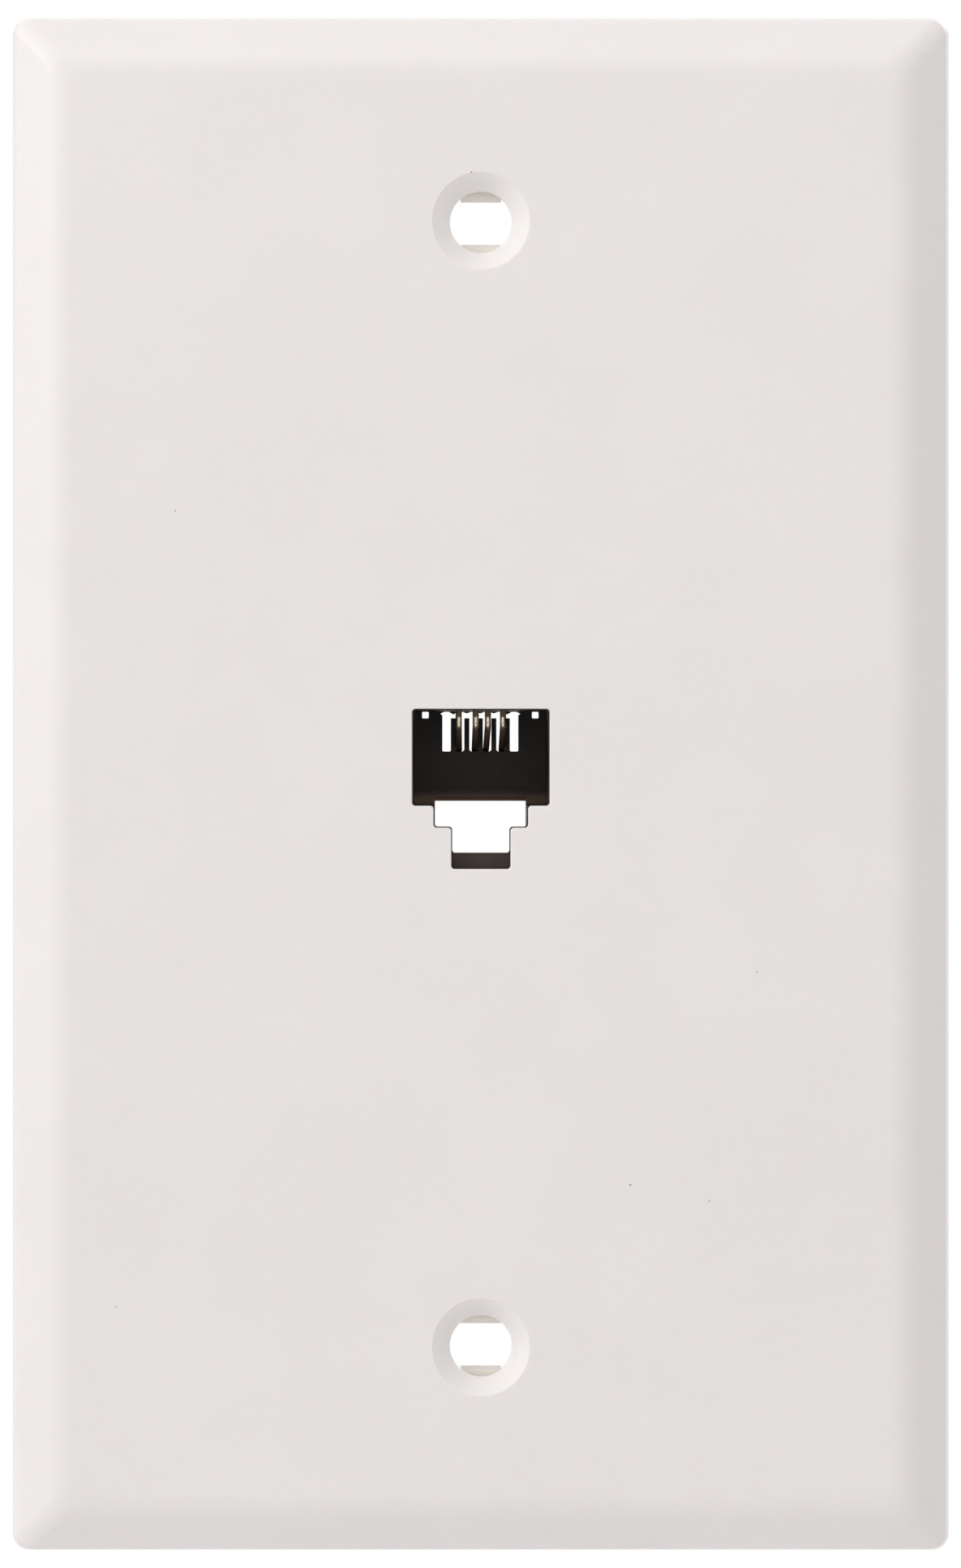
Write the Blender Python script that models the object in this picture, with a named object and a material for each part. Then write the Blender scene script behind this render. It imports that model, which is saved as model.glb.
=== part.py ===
"""Telephone wall socket: a flush single-gang plate with a four-wire modular jack and screw terminals.

Frame: metres, +Z up. The plate stands upright and faces -Y, and the origin is the middle of its back
plane, which seats on the wall. The jack and the terminals reach behind that plane, towards +Y.
A depth is counted from the plate's front face towards the wall.
"""
import math

import bpy
import bmesh
from mathutils import Matrix, Vector

# Fits
SEAT_GAP = 0.0003
STACK_GAP = 0.0002
CLEARANCE = 0.00015
FUSE = 0.0004
OVERCUT = 0.001

# Wall plate
PLATE_WIDTH = 0.06985
PLATE_HEIGHT = 0.1143
PLATE_DEPTH = 0.0056
OUTLINE_RADIUS = 0.00125
SIDE_INSET = 0.0004
BEVEL_WIDTH = 0.0031
BEVEL_DROP = 0.002
BEVEL_BLEND_RADIUS = 0.004
FRONT_EDGE_RADIUS = 0.0005
BACK_EDGE_CHAMFER = 0.0002
SKIN = 0.002
RIM_WALL = 0.002
RIB_THICKNESS = 0.0012
RIB_SETBACK = 0.0012
LONG_RIB_SPACING = 0.0475
LONG_RIB_END_GAP = 0.0035
CROSS_RIB_SPACING = 0.05

# Mounting holes and the nibs that hold the screws in them
MOUNT_SPACING = 0.08334
MOUNT_HOLE_RADIUS = 0.0023
COUNTERSINK_RADIUS = 0.0036
COUNTERSINK_ANGLE = math.radians(82)
BORE_DEPTH = 0.0024
BORE_RELIEF_RADIUS = 0.0026
BOSS_WALL = 0.0022
BOSS_HEIGHT = 0.0027
NIB_WIDTH = 0.003
NIB_ROOT_WIDTH = 0.0025
NIB_GAP = 0.00317
NIB_DEPTH = 0.0029
NIB_THICKNESS = 0.0008
NIB_CHAMFER = 0.0003

# Opening for the plug and its latch
PLUG_WIDTH = 0.01017
PLUG_HEIGHT = 0.00717
PLUG_TOP = 0.00556
LATCH_STEP_WIDTH = 0.007
LATCH_STEP_DROP = 0.00162
LATCH_SLOT_WIDTH = 0.00438
LATCH_SLOT_DROP = 0.00306
OPENING_RADIUS = 0.00025

# Jack body
BAY_SKIN = 0.0012
JACK_SIDE_WALL = 0.0018
JACK_ROOF = 0.003
JACK_FLOOR = 0.0015
JACK_FRONT_WALL = 0.001
JACK_CAVITY_DEPTH = 0.0117
CAVITY_DRAFT = 0.0001
JACK_CORNER_RADIUS = 0.0006
LEDGE_RISE = 0.0011
LEDGE_CHAMFER = 0.0002
REAR_WALL_RISE = 0.00033
REAR_WALL_THICKNESS = 0.001
REAR_WALL_EDGE_RADIUS = 0.0004
MOUTH_INSET = 0.00004
JACK_TAIL = 0.0009
SHOULDER_DEPTH = 0.0072
SHOULDER_STEP = 0.0009
TAIL_INSET = 0.0001

# Comb in the jack's rear wall
COMB_SLOTS = 6
COMB_PITCH = 0.00102
COMB_SLOT_WIDTH = 0.00064
TOOTH_HEIGHT = 0.00251
ROOF_GAP = 0.00049
ROOF_DIP = 0.00012
WING_REACH = 0.00015
WING_HEIGHT = 0.00027
COMB_SLOT_RADIUS = 0.0001
CORNER_HOLE_SIDE = 0.0005
CORNER_HOLE_SPACING = 0.0083

# Frame and snap arms that hold the jack body in the plate
FRAME_WALL = 0.0014
ARM_WIDTH = 0.007
ARM_RELIEF = 0.0008
HOOK_REACH = 0.0009
HOOK_LENGTH = 0.0016

# Contact wires, in slots 2 to 5 of the comb
WIRE_RADIUS = 0.0002
WIRE_SIDE_GAP = 0.00002
FOLD_RADIUS = 0.0006
SPREAD_RADIUS = 0.0003
KNEE_TOP_RADIUS = 0.00135
KNEE_RADIUS = 0.0003
TRAY_FLOOR = 0.0015
TRAY_WIDTH = 0.0096
TRAY_START = 0.0034
FOLD_DEPTH = 0.00165
FOLD_WINDOW = 0.0014
ROOF_GROOVE_HEIGHT = 0.00055
ROOF_RUN_RISE = 0.00025
KNEE_DEPTH = 0.0043
KNEE_DROP = 0.00125
TIP_HEIGHT = 0.00003
TIP_SETBACK = 0.0001

# Crimp sleeves between the contact wires and the leads
SLEEVE_RADIUS = 0.0008
SLEEVE_BORE = 0.00045
SLEEVE_LENGTH = 0.0035
SLEEVE_PITCH = 0.0024
SLEEVE_SETBACK = 0.001
SLEEVE_JOINT_GAP = 0.0005

# Bar that holds the contact wires in the jack's roof tray
RETAINER_LENGTH = 0.003
RETAINER_OFFSET = 0.0009
RETAINER_EAR = 0.0009
RETAINER_EAR_THICKNESS = 0.0008

# Terminals
TERMINAL_SPACING_X = 0.032
TERMINAL_SPACING_Z = 0.019
POST_SIDE = 0.009
POST_HEIGHT = 0.0064
POST_CORNER_RADIUS = 0.0008
PILOT_RADIUS = 0.0015
PILOT_FLOOR = 0.0008
SCREW_RADIUS = 0.00135
SCREW_LENGTH = 0.0073
SCREW_TIP_RADIUS = 0.00095
SCREW_TIP_LENGTH = 0.0006
HEAD_RADIUS = 0.0032
HEAD_HEIGHT = 0.0019
HEAD_EDGE = 0.0007
HEAD_FLAT_RADIUS = 0.0005
DRIVER_SLOT_WIDTH = 0.0009
DRIVER_SLOT_DEPTH = 0.0009
WASHER_RADIUS = 0.0042
WASHER_BORE = 0.0017
WASHER_THICKNESS = 0.0007
LUG_THICKNESS = 0.0007
LUG_WIDTH = 0.0066
LUG_SLOT_WIDTH = 0.0034
LUG_TONGUE = 0.0034
LUG_NECK_WIDTH = 0.0022
LUG_TIP_CHAMFER = 0.00085
BARREL_OFFSET = 0.0049
BARREL_LENGTH = 0.004
BARREL_RADIUS = 0.001
BARREL_BORE = 0.00045
BARREL_FLOOR = 0.0008

# Leads between the crimp sleeves and the terminals
LEAD_RADIUS = 0.00065
CORE_RADIUS = 0.0003
CORE_SHOULDER = 0.00005
CORE_IN_BARREL = 0.003
LEAD_STRAIGHT = 0.0018

# Facets
CORNER_STEPS = 5
OPENING_STEPS = 4
SMALL_CORNER_STEPS = 3
SLOT_STEPS = 2
ROUTE_STEPS = 4
ROUND_SIDES = 32
SCREW_SIDES = 24
SMALL_ROUND_SIDES = 16
SHARP_ANGLE = math.radians(30)

# Heights and depths worked out from the sizes above
FRONT_TILT = math.atan2(BEVEL_DROP, BEVEL_WIDTH)
PLUG_FLOOR = PLUG_TOP - PLUG_HEIGHT
STEP_FLOOR = PLUG_FLOOR - LATCH_STEP_DROP
SLOT_FLOOR = STEP_FLOOR - LATCH_SLOT_DROP
LEDGE_TOP = SLOT_FLOOR + LEDGE_RISE
JACK_FRONT = BAY_SKIN + SEAT_GAP
REAR_WALL_FRONT = JACK_FRONT + JACK_CAVITY_DEPTH
REAR_WALL_BACK = REAR_WALL_FRONT + REAR_WALL_THICKNESS
JACK_BACK = REAR_WALL_BACK + JACK_TAIL
JACK_HALF = PLUG_WIDTH / 2 + JACK_SIDE_WALL
JACK_TOP = PLUG_TOP + JACK_ROOF
JACK_BOTTOM = LEDGE_TOP - JACK_FLOOR
SHOULDER = JACK_FRONT + SHOULDER_DEPTH
COMB_TOP = PLUG_TOP - CAVITY_DRAFT
TOOTH_TOP = COMB_TOP - ROOF_GAP
COMB_SLOT_FLOOR = TOOTH_TOP - TOOTH_HEIGHT
TRAY_Z = PLUG_TOP + TRAY_FLOOR
WIRE_Z = TRAY_Z + CLEARANCE + WIRE_RADIUS
SLEEVE_BACK = JACK_BACK - SLEEVE_SETBACK
SLEEVE_FRONT = SLEEVE_BACK - SLEEVE_LENGTH
POCKET_FRONT = SLEEVE_FRONT - CLEARANCE
RETAINER_BACK = SLEEVE_FRONT - RETAINER_OFFSET
RETAINER_FRONT = RETAINER_BACK - RETAINER_LENGTH
FRAME_BACK = RETAINER_FRONT - SEAT_GAP
POST_TOP = SKIN + POST_HEIGHT
LOWER_WASHER = POST_TOP + STACK_GAP
LUG_DEPTH = LOWER_WASHER + WASHER_THICKNESS + STACK_GAP
UPPER_WASHER = LUG_DEPTH + LUG_THICKNESS + STACK_GAP
HEAD_SEAT = UPPER_WASHER + WASHER_THICKNESS + STACK_GAP

# Each circuit: its comb slot counted from the left, its colour, the side and row of its terminal, the
# tilt of its lug towards the jack, the turn of its screw's slot, and the tooth that its wire leans on,
# from -1 on the left to 1 on the right
CIRCUITS = (
    (2, "black", -1, -1, math.radians(14), math.radians(24), -1.0),
    (3, "red", -1, 1, math.radians(28), math.radians(-37), 1.0),
    (4, "green", 1, 1, math.radians(28), math.radians(62), -0.2),
    (5, "yellow", 1, -1, math.radians(14), math.radians(8), 1.0),
)

# Hand-chosen points of the two lead routes, on the +X side, as x, depth and height
UPPER_ROUTE = (
    (0.0026, 0.0188, 0.0108),
    (0.0058, 0.0186, 0.0158),
    (0.0090, 0.0150, 0.0192),
)
LOWER_ROUTE = (
    (0.0056, 0.0184, 0.0062),
    (0.0092, 0.0177, 0.0040),
    (0.0122, 0.0142, 0.0024),
)

COLOURS = {
    "white_abs": ((0.78, 0.75, 0.745, 1.0), 0.42, 0.0),
    "black_nylon": ((0.012, 0.011, 0.010, 1.0), 0.45, 0.0),
    "gold_plate": ((0.83, 0.62, 0.30, 1.0), 0.25, 1.0),
    "brass": ((0.72, 0.52, 0.22, 1.0), 0.32, 1.0),
    "tinned_brass": ((0.62, 0.60, 0.56, 1.0), 0.35, 1.0),
    "black": ((0.015, 0.015, 0.016, 1.0), 0.5, 0.0),
    "red": ((0.50, 0.020, 0.016, 1.0), 0.5, 0.0),
    "green": ((0.020, 0.22, 0.055, 1.0), 0.5, 0.0),
    "yellow": ((0.78, 0.52, 0.030, 1.0), 0.5, 0.0),
}


def at(x, depth, height):
    """A point given by its depth behind the plate's front face."""
    return Vector((x, depth - PLATE_DEPTH, height))


def clear_scene():
    for item in list(bpy.data.objects):
        bpy.data.objects.remove(item, do_unlink=True)


def make_material(finish):
    colour, roughness, metallic = COLOURS[finish]
    material = bpy.data.materials.new(finish)
    material.use_nodes = True
    shader = material.node_tree.nodes["Principled BSDF"]
    shader.inputs["Base Color"].default_value = colour
    shader.inputs["Roughness"].default_value = roughness
    shader.inputs["Metallic"].default_value = metallic
    return material


def dress(piece, finish):
    """Give a piece its own material and smooth shading with sharp edges kept."""
    piece.data.materials.clear()
    piece.data.materials.append(make_material(finish))
    if piece.type == "MESH":
        piece.data.shade_smooth()
        piece.data.set_sharp_from_angle(angle=SHARP_ANGLE)
    return piece


def add_mesh(name, mesh_builder):
    """Turn a finished bmesh into an object with its faces pointing outwards."""
    bmesh.ops.recalc_face_normals(mesh_builder, faces=mesh_builder.faces)
    mesh = bpy.data.meshes.new(name)
    mesh_builder.to_mesh(mesh)
    mesh_builder.free()
    piece = bpy.data.objects.new(name, mesh)
    bpy.context.collection.objects.link(piece)
    return piece


def loft(name, rings, hollow=False):
    """A closed solid through rings with equal point counts.

    Flat faces cap both ends, or in a hollow one, such as a washer, the last ring runs back to the first.
    """
    builder = bmesh.new()
    loops = [[builder.verts.new(point) for point in ring] for ring in rings]
    if not hollow:
        builder.faces.new(loops[0])
        builder.faces.new(loops[-1])
    pairs = zip(loops, loops[1:] + loops[:1]) if hollow else zip(loops, loops[1:])
    for near, far in pairs:
        for index in range(len(near)):
            following = (index + 1) % len(near)
            builder.faces.new((near[index], near[following], far[following], far[index]))
    return add_mesh(name, builder)


def turned(name, profile, sides, hollow=False):
    """A solid turned about the Y axis, through (radius, y) points.

    The rings are worked out and not spun, so that each flat face is exactly flat when it is cut.
    """
    rings = []
    for radius, y in profile:
        angles = [math.tau * step / sides for step in range(sides)]
        rings.append([Vector((radius * math.cos(a), y, radius * math.sin(a))) for a in angles])
    return loft(name, rings, hollow)


def prism(name, outline, start, end):
    """An outline of (x, height) points carried from one depth to another."""
    return loft(name, [[at(x, depth, z) for x, z in outline] for depth in (start, end)])


def block(name, x_range, depth_range, z_range):
    outline = [(x_range[0], z_range[0]), (x_range[1], z_range[0]),
               (x_range[1], z_range[1]), (x_range[0], z_range[1])]
    return prism(name, outline, *depth_range)


def round_corner(corner, before, after, radius, steps):
    """Points of the arc that rounds one corner of a path or outline."""
    to_before = (before - corner).normalized()
    to_after = (after - corner).normalized()
    half_angle = to_before.angle(to_after) / 2
    centre = corner + (to_before + to_after).normalized() * radius / math.sin(half_angle)
    start = corner + to_before * radius / math.tan(half_angle) - centre
    end = corner + to_after * radius / math.tan(half_angle) - centre
    sweep = start.angle(end)
    points = []
    for step in range(steps + 1):
        share = step / steps
        swung = start * math.sin((1 - share) * sweep) + end * math.sin(share * sweep)
        points.append(centre + swung / math.sin(sweep))
    return points


def rounded_outline(corners, radius, steps):
    """A closed outline of (x, height) points with all of its corners rounded."""
    points = [Vector((x, 0.0, z)) for x, z in corners]
    outline = []
    for index, corner in enumerate(points):
        before = points[index - 1]
        after = points[(index + 1) % len(points)]
        outline += [(p.x, p.z) for p in round_corner(corner, before, after, radius, steps)]
    return outline


def rounded_rectangle(half_width, bottom, top, radius, steps):
    corners = [(-half_width, bottom), (half_width, bottom), (half_width, top), (-half_width, top)]
    return rounded_outline(corners, radius, steps)


def combine(piece, tool, operation):
    """Join or cut a piece with a tool solid, which is used up."""
    modifier = piece.modifiers.new(operation.title(), "BOOLEAN")
    modifier.operation = operation
    modifier.solver = "EXACT"
    modifier.object = tool
    graph = bpy.context.evaluated_depsgraph_get()
    result = bpy.data.meshes.new_from_object(piece.evaluated_get(graph))
    piece.modifiers.clear()
    piece.data = result
    bpy.data.objects.remove(tool, do_unlink=True)


def join(piece, *tools):
    for tool in tools:
        combine(piece, tool, "UNION")


def cut(piece, *tools):
    for tool in tools:
        combine(piece, tool, "DIFFERENCE")


def tube(name, points, radii):
    """A round bar along a path, with its own radius at each point and closed ends."""
    curve = bpy.data.curves.new(name, "CURVE")
    curve.dimensions = "3D"
    curve.fill_mode = "FULL"
    curve.bevel_depth = max(radii)
    curve.bevel_resolution = 2
    curve.use_fill_caps = True
    spline = curve.splines.new("POLY")
    spline.points.add(len(points) - 1)
    for spline_point, point, radius in zip(spline.points, points, radii):
        spline_point.co = (*point, 1.0)
        spline_point.radius = radius / max(radii)
    piece = bpy.data.objects.new(name, curve)
    bpy.context.collection.objects.link(piece)
    return piece


# Wall plate

def front_section():
    """The border's section as (inset, depth) points: flat front, slope, drafted side and back edge."""
    face_edge = Vector((SIDE_INSET + BEVEL_WIDTH, 0.0, 0.0))
    on_face = face_edge + Vector((BEVEL_WIDTH, 0.0, 0.0))
    side_edge = Vector((SIDE_INSET, 0.0, BEVEL_DROP))
    back_edge = Vector((0.0, 0.0, PLATE_DEPTH - BACK_EDGE_CHAMFER))
    points = round_corner(face_edge, on_face, side_edge, BEVEL_BLEND_RADIUS, CORNER_STEPS)
    points += round_corner(side_edge, face_edge, back_edge, FRONT_EDGE_RADIUS, CORNER_STEPS)
    points += [back_edge, Vector((BACK_EDGE_CHAMFER, 0.0, PLATE_DEPTH))]
    return [(point.x, point.z) for point in points]


def hollow_section():
    """The hollow's section, from the rim's inner edge in to the skin; its slope keeps the skin even."""
    normal_in = math.sin(FRONT_TILT)
    normal_back = math.cos(FRONT_TILT)
    knee = BEVEL_DROP + (SKIN - (RIM_WALL - SIDE_INSET) * normal_in) / normal_back
    slope_end = SIDE_INSET + (SKIN + (BEVEL_DROP - SKIN) * normal_back) / normal_in
    return [(RIM_WALL, PLATE_DEPTH), (RIM_WALL, knee), (slope_end, SKIN)]


def plate_shell():
    """The hollow plate with its sloped border, as one run of rounded rectangles."""
    rings = []
    for inset, depth in front_section() + hollow_section():
        half_height = PLATE_HEIGHT / 2 - inset
        outline = rounded_rectangle(PLATE_WIDTH / 2 - inset, -half_height, half_height,
                                    OUTLINE_RADIUS, CORNER_STEPS)
        rings.append([at(x, depth, z) for x, z in outline])
    return loft("wall_plate", rings)


def add_ribs(plate):
    """Two long ribs, two cross ribs and a short rib from each terminal post, all behind the skin."""
    depths = (SKIN - FUSE, PLATE_DEPTH - RIB_SETBACK)
    half = RIB_THICKNESS / 2
    long_rib = LONG_RIB_SPACING / 2
    long_end = PLATE_HEIGHT / 2 - RIM_WALL - LONG_RIB_END_GAP
    cross_rib = CROSS_RIB_SPACING / 2
    post_edge = TERMINAL_SPACING_X / 2 + POST_SIDE / 2 - FUSE
    for side in (-1, 1):
        join(plate, block("long_rib", (side * long_rib - half, side * long_rib + half), depths,
                          (-long_end, long_end)))
        join(plate, block("cross_rib", (-long_rib, long_rib), depths,
                          (side * cross_rib - half, side * cross_rib + half)))
        for row in (-1, 1):
            height = row * TERMINAL_SPACING_Z / 2
            reach = sorted((side * post_edge, side * long_rib))
            join(plate, block("post_rib", reach, depths, (height - half, height + half)))


def nib_solid(side):
    """One nib on the hole's axis, wider at its tip than at its root, with its front edge chamfered."""
    root = BORE_RELIEF_RADIUS + OVERCUT
    rings = []
    for depth, chamfer in ((NIB_DEPTH, NIB_CHAMFER), (NIB_DEPTH + NIB_CHAMFER, 0.0),
                           (NIB_DEPTH + NIB_THICKNESS, 0.0)):
        tip = NIB_GAP / 2 + chamfer
        outline = [(-NIB_WIDTH / 2, tip), (NIB_WIDTH / 2, tip), (NIB_ROOT_WIDTH / 2, root),
                   (-NIB_ROOT_WIDTH / 2, root)]
        rings.append([at(x, depth, side * z) for x, z in outline])
    return loft("nib", rings)


def add_mounting_hole(plate, height):
    """A countersunk hole in a boss, wider at the back, with two nibs that keep the screw from falling out."""
    slope = (COUNTERSINK_RADIUS - MOUNT_HOLE_RADIUS) / math.tan(COUNTERSINK_ANGLE / 2)
    boss_radius = MOUNT_HOLE_RADIUS + BOSS_WALL
    boss_back = SKIN + BOSS_HEIGHT
    front = -PLATE_DEPTH
    flare = OVERCUT * math.tan(COUNTERSINK_ANGLE / 2)
    place = Matrix.Translation((0.0, 0.0, height))
    boss = turned("boss", [(boss_radius, front + SKIN - FUSE), (boss_radius, front + boss_back)], ROUND_SIDES)
    drill = turned("drill", [(COUNTERSINK_RADIUS + flare, front - OVERCUT),
                             (MOUNT_HOLE_RADIUS, front + slope), (MOUNT_HOLE_RADIUS, front + BORE_DEPTH),
                             (BORE_RELIEF_RADIUS, front + BORE_DEPTH),
                             (BORE_RELIEF_RADIUS, front + boss_back + OVERCUT)], ROUND_SIDES)
    for side in (-1, 1):
        cut(drill, nib_solid(side))
    boss.data.transform(place)
    drill.data.transform(place)
    join(plate, boss)
    cut(plate, drill)


def stepped_opening(floor, grow):
    """The plug opening's outline: plug, latch step and latch slot, widened by grow."""
    plug = PLUG_WIDTH / 2 + grow
    step = LATCH_STEP_WIDTH / 2 + grow
    slot = LATCH_SLOT_WIDTH / 2 + grow
    right = [(slot, floor), (slot, STEP_FLOOR - grow), (step, STEP_FLOOR - grow),
             (step, PLUG_FLOOR - grow), (plug, PLUG_FLOOR - grow), (plug, PLUG_TOP + grow)]
    left = [(-x, z) for x, z in reversed(right)]
    return rounded_outline(right + left, OPENING_RADIUS, OPENING_STEPS)


def add_jack_bay(plate):
    """A pocket in the skin, the frame round it, two snap arms that hook the jack, and the plug opening."""
    inner_x = JACK_HALF + SEAT_GAP
    outer_x = inner_x + FRAME_WALL
    low = JACK_BOTTOM - SEAT_GAP
    high = JACK_TOP + SEAT_GAP
    arm_half = ARM_WIDTH / 2
    hook_front = SHOULDER + SEAT_GAP
    hook_back = hook_front + HOOK_LENGTH
    join(plate, block("frame", (-outer_x, outer_x), (SKIN - FUSE, FRAME_BACK),
                      (low - FRAME_WALL, high + FRAME_WALL)))
    cut(plate, block("pocket", (-inner_x, inner_x), (BAY_SKIN, FRAME_BACK + OVERCUT), (low, high)))
    for side in (-1, 1):
        arm_x = sorted((side * inner_x, side * outer_x))
        relief_x = sorted((side * (inner_x - FUSE), side * (outer_x + FUSE)))
        for row in (-1, 1):
            relief_z = sorted((row * arm_half, row * (arm_half + ARM_RELIEF)))
            cut(plate, block("relief", relief_x, (SKIN, FRAME_BACK + OVERCUT), relief_z))
        hook_tip = inner_x - HOOK_REACH
        section = [(inner_x, FRAME_BACK - FUSE), (inner_x, hook_front), (hook_tip, hook_front),
                   (hook_tip, hook_front + FUSE), (inner_x, hook_back), (outer_x, hook_back),
                   (outer_x, FRAME_BACK - FUSE)]
        ends = [[at(side * x, depth, z) for x, depth in section] for z in (-arm_half, arm_half)]
        join(plate, loft("snap_arm", ends))
    cut(plate, prism("plug_opening", stepped_opening(SLOT_FLOOR, 0.0), -OVERCUT, BAY_SKIN + OVERCUT))


def terminal_centre(side, row):
    return side * TERMINAL_SPACING_X / 2, row * TERMINAL_SPACING_Z / 2


def add_terminal_post(plate, side, row):
    """A square post with a blind pilot hole for its screw."""
    x, height = terminal_centre(side, row)
    half = POST_SIDE / 2
    outline = [(x + px, height + pz) for px, pz in
               rounded_rectangle(half, -half, half, POST_CORNER_RADIUS, SMALL_CORNER_STEPS)]
    join(plate, prism("post", outline, SKIN - FUSE, POST_TOP))
    start = SKIN + PILOT_FLOOR - PLATE_DEPTH
    end = POST_TOP + OVERCUT - PLATE_DEPTH
    pilot = turned("pilot", [(PILOT_RADIUS, start), (PILOT_RADIUS, end)], SMALL_ROUND_SIDES)
    pilot.data.transform(Matrix.Translation((x, 0.0, height)))
    cut(plate, pilot)


def make_wall_plate():
    plate = plate_shell()
    for side in (-1, 1):
        for row in (-1, 1):
            add_terminal_post(plate, side, row)
    add_ribs(plate)
    add_jack_bay(plate)
    for side in (-1, 1):
        add_mounting_hole(plate, side * MOUNT_SPACING / 2)
    return dress(plate, "white_abs")


# Jack body

def cut_plug_cavity(body):
    """The stepped front opening, the tapered plug cavity and the latch channel that runs out at the back."""
    inner_front = JACK_FRONT + JACK_FRONT_WALL
    opening = stepped_opening(LEDGE_TOP + MOUTH_INSET, -MOUTH_INSET)
    cut(body, prism("front_opening", opening, JACK_FRONT - OVERCUT, inner_front + OVERCUT))
    rings = []
    for depth, draft in ((inner_front, 0.0), (REAR_WALL_FRONT, CAVITY_DRAFT)):
        half = PLUG_WIDTH / 2 - draft
        outline = rounded_rectangle(half, PLUG_FLOOR + draft, PLUG_TOP - draft, OPENING_RADIUS,
                                    OPENING_STEPS)
        rings.append([at(x, depth, z) for x, z in outline])
    cut(body, loft("plug_cavity", rings))
    channel_half = LATCH_STEP_WIDTH / 2 - MOUTH_INSET
    channel_top = PLUG_FLOOR + REAR_WALL_RISE
    channel = rounded_rectangle(channel_half, LEDGE_TOP, channel_top, LEDGE_CHAMFER, 1)
    cut(body, prism("latch_channel", channel, inner_front, JACK_BACK + OVERCUT))
    lip = Vector((REAR_WALL_FRONT, 0.0, channel_top))
    arc = round_corner(lip, lip + Vector((0.0, 0.0, 1.0)), lip + Vector((1.0, 0.0, 0.0)),
                       REAR_WALL_EDGE_RADIUS, CORNER_STEPS)
    section = [(point.x, point.z) for point in arc]
    section += [(section[-1][0], channel_top - FUSE), (REAR_WALL_FRONT - FUSE, channel_top - FUSE),
                (REAR_WALL_FRONT - FUSE, section[0][1])]
    ends = [[at(x, depth, z) for depth, z in section] for x in (-channel_half, channel_half)]
    cut(body, loft("rear_wall_edge", ends))


def comb_slot_x(slot):
    """The middle of a comb slot, counted from 1 at the left."""
    return (slot - (COMB_SLOTS + 1) / 2) * COMB_PITCH


def roof_gap_outline():
    """The gap over the teeth: it dips over each tooth and runs out in a pointed wing at each end."""
    half = comb_slot_x(COMB_SLOTS) + COMB_SLOT_WIDTH / 2
    top = []
    for slot in range(1, COMB_SLOTS + 1):
        x = comb_slot_x(slot)
        quarter = COMB_SLOT_WIDTH / 4
        top += [(x - quarter, COMB_TOP), (x + quarter, COMB_TOP), (x + COMB_PITCH / 2, COMB_TOP - ROOF_DIP)]
    outline = [(-half, TOOTH_TOP), (-half, COMB_TOP - WING_HEIGHT),
               (-half - WING_REACH, COMB_TOP - WING_HEIGHT / 2), *top[:-1],
               (half + WING_REACH, COMB_TOP - WING_HEIGHT / 2), (half, COMB_TOP - WING_HEIGHT),
               (half, TOOTH_TOP)]
    return outline


def cut_comb(body):
    """Six slots, the gap over the teeth, the two corner holes and the recess behind the rear wall."""
    depths = (REAR_WALL_FRONT - FUSE, REAR_WALL_BACK + FUSE)
    recess_half = PLUG_WIDTH / 2 - CAVITY_DRAFT
    cut(body, block("recess", (-recess_half, recess_half), (REAR_WALL_BACK, JACK_BACK + OVERCUT),
                    (PLUG_FLOOR, COMB_TOP)))
    cut(body, prism("roof_gap", roof_gap_outline(), *depths))
    slot_outline = rounded_rectangle(COMB_SLOT_WIDTH / 2, COMB_SLOT_FLOOR, TOOTH_TOP + COMB_SLOT_RADIUS,
                                     COMB_SLOT_RADIUS, SLOT_STEPS)
    for slot in range(1, COMB_SLOTS + 1):
        outline = [(comb_slot_x(slot) + x, z) for x, z in slot_outline]
        cut(body, prism("slot", outline, *depths))
    for side in (-1, 1):
        x = side * CORNER_HOLE_SPACING / 2
        cut(body, block("corner_hole", (x - CORNER_HOLE_SIDE / 2, x + CORNER_HOLE_SIDE / 2), depths,
                        (COMB_TOP - CORNER_HOLE_SIDE, COMB_TOP)))


def sleeve_x(slot):
    """The middle of a wire's crimp sleeve, where the wires have spread apart."""
    return (slot - (COMB_SLOTS + 1) / 2) * SLEEVE_PITCH


def cut_wire_ways(body):
    """The roof tray, the sleeve pockets, and for each wire its grooves over and under the roof and the
    window between them."""
    above = JACK_TOP + OVERCUT
    tray_front = JACK_FRONT + TRAY_START
    window_front = JACK_FRONT + JACK_FRONT_WALL
    pocket_half = SLEEVE_RADIUS + CLEARANCE
    cut(body, block("tray", (-TRAY_WIDTH / 2, TRAY_WIDTH / 2), (tray_front, POCKET_FRONT + FUSE),
                    (TRAY_Z, above)))
    knee_back = JACK_FRONT + KNEE_DEPTH + WIRE_RADIUS + CLEARANCE
    for slot, *_ in CIRCUITS:
        x = comb_slot_x(slot)
        groove_x = (x - COMB_SLOT_WIDTH / 2, x + COMB_SLOT_WIDTH / 2)
        cut(body, block("groove", groove_x, (window_front, tray_front + FUSE), (TRAY_Z, above)))
        cut(body, block("under_groove", groove_x, (window_front, knee_back),
                        (PLUG_TOP - FUSE, PLUG_TOP + ROOF_GROOVE_HEIGHT)))
        cut(body, block("window", groove_x, (window_front, window_front + FOLD_WINDOW),
                        (PLUG_TOP - FUSE, above)))
        x = sleeve_x(slot)
        cut(body, block("pocket", (x - pocket_half, x + pocket_half), (POCKET_FRONT, JACK_BACK + OVERCUT),
                        (WIRE_Z - pocket_half, above)))


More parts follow.
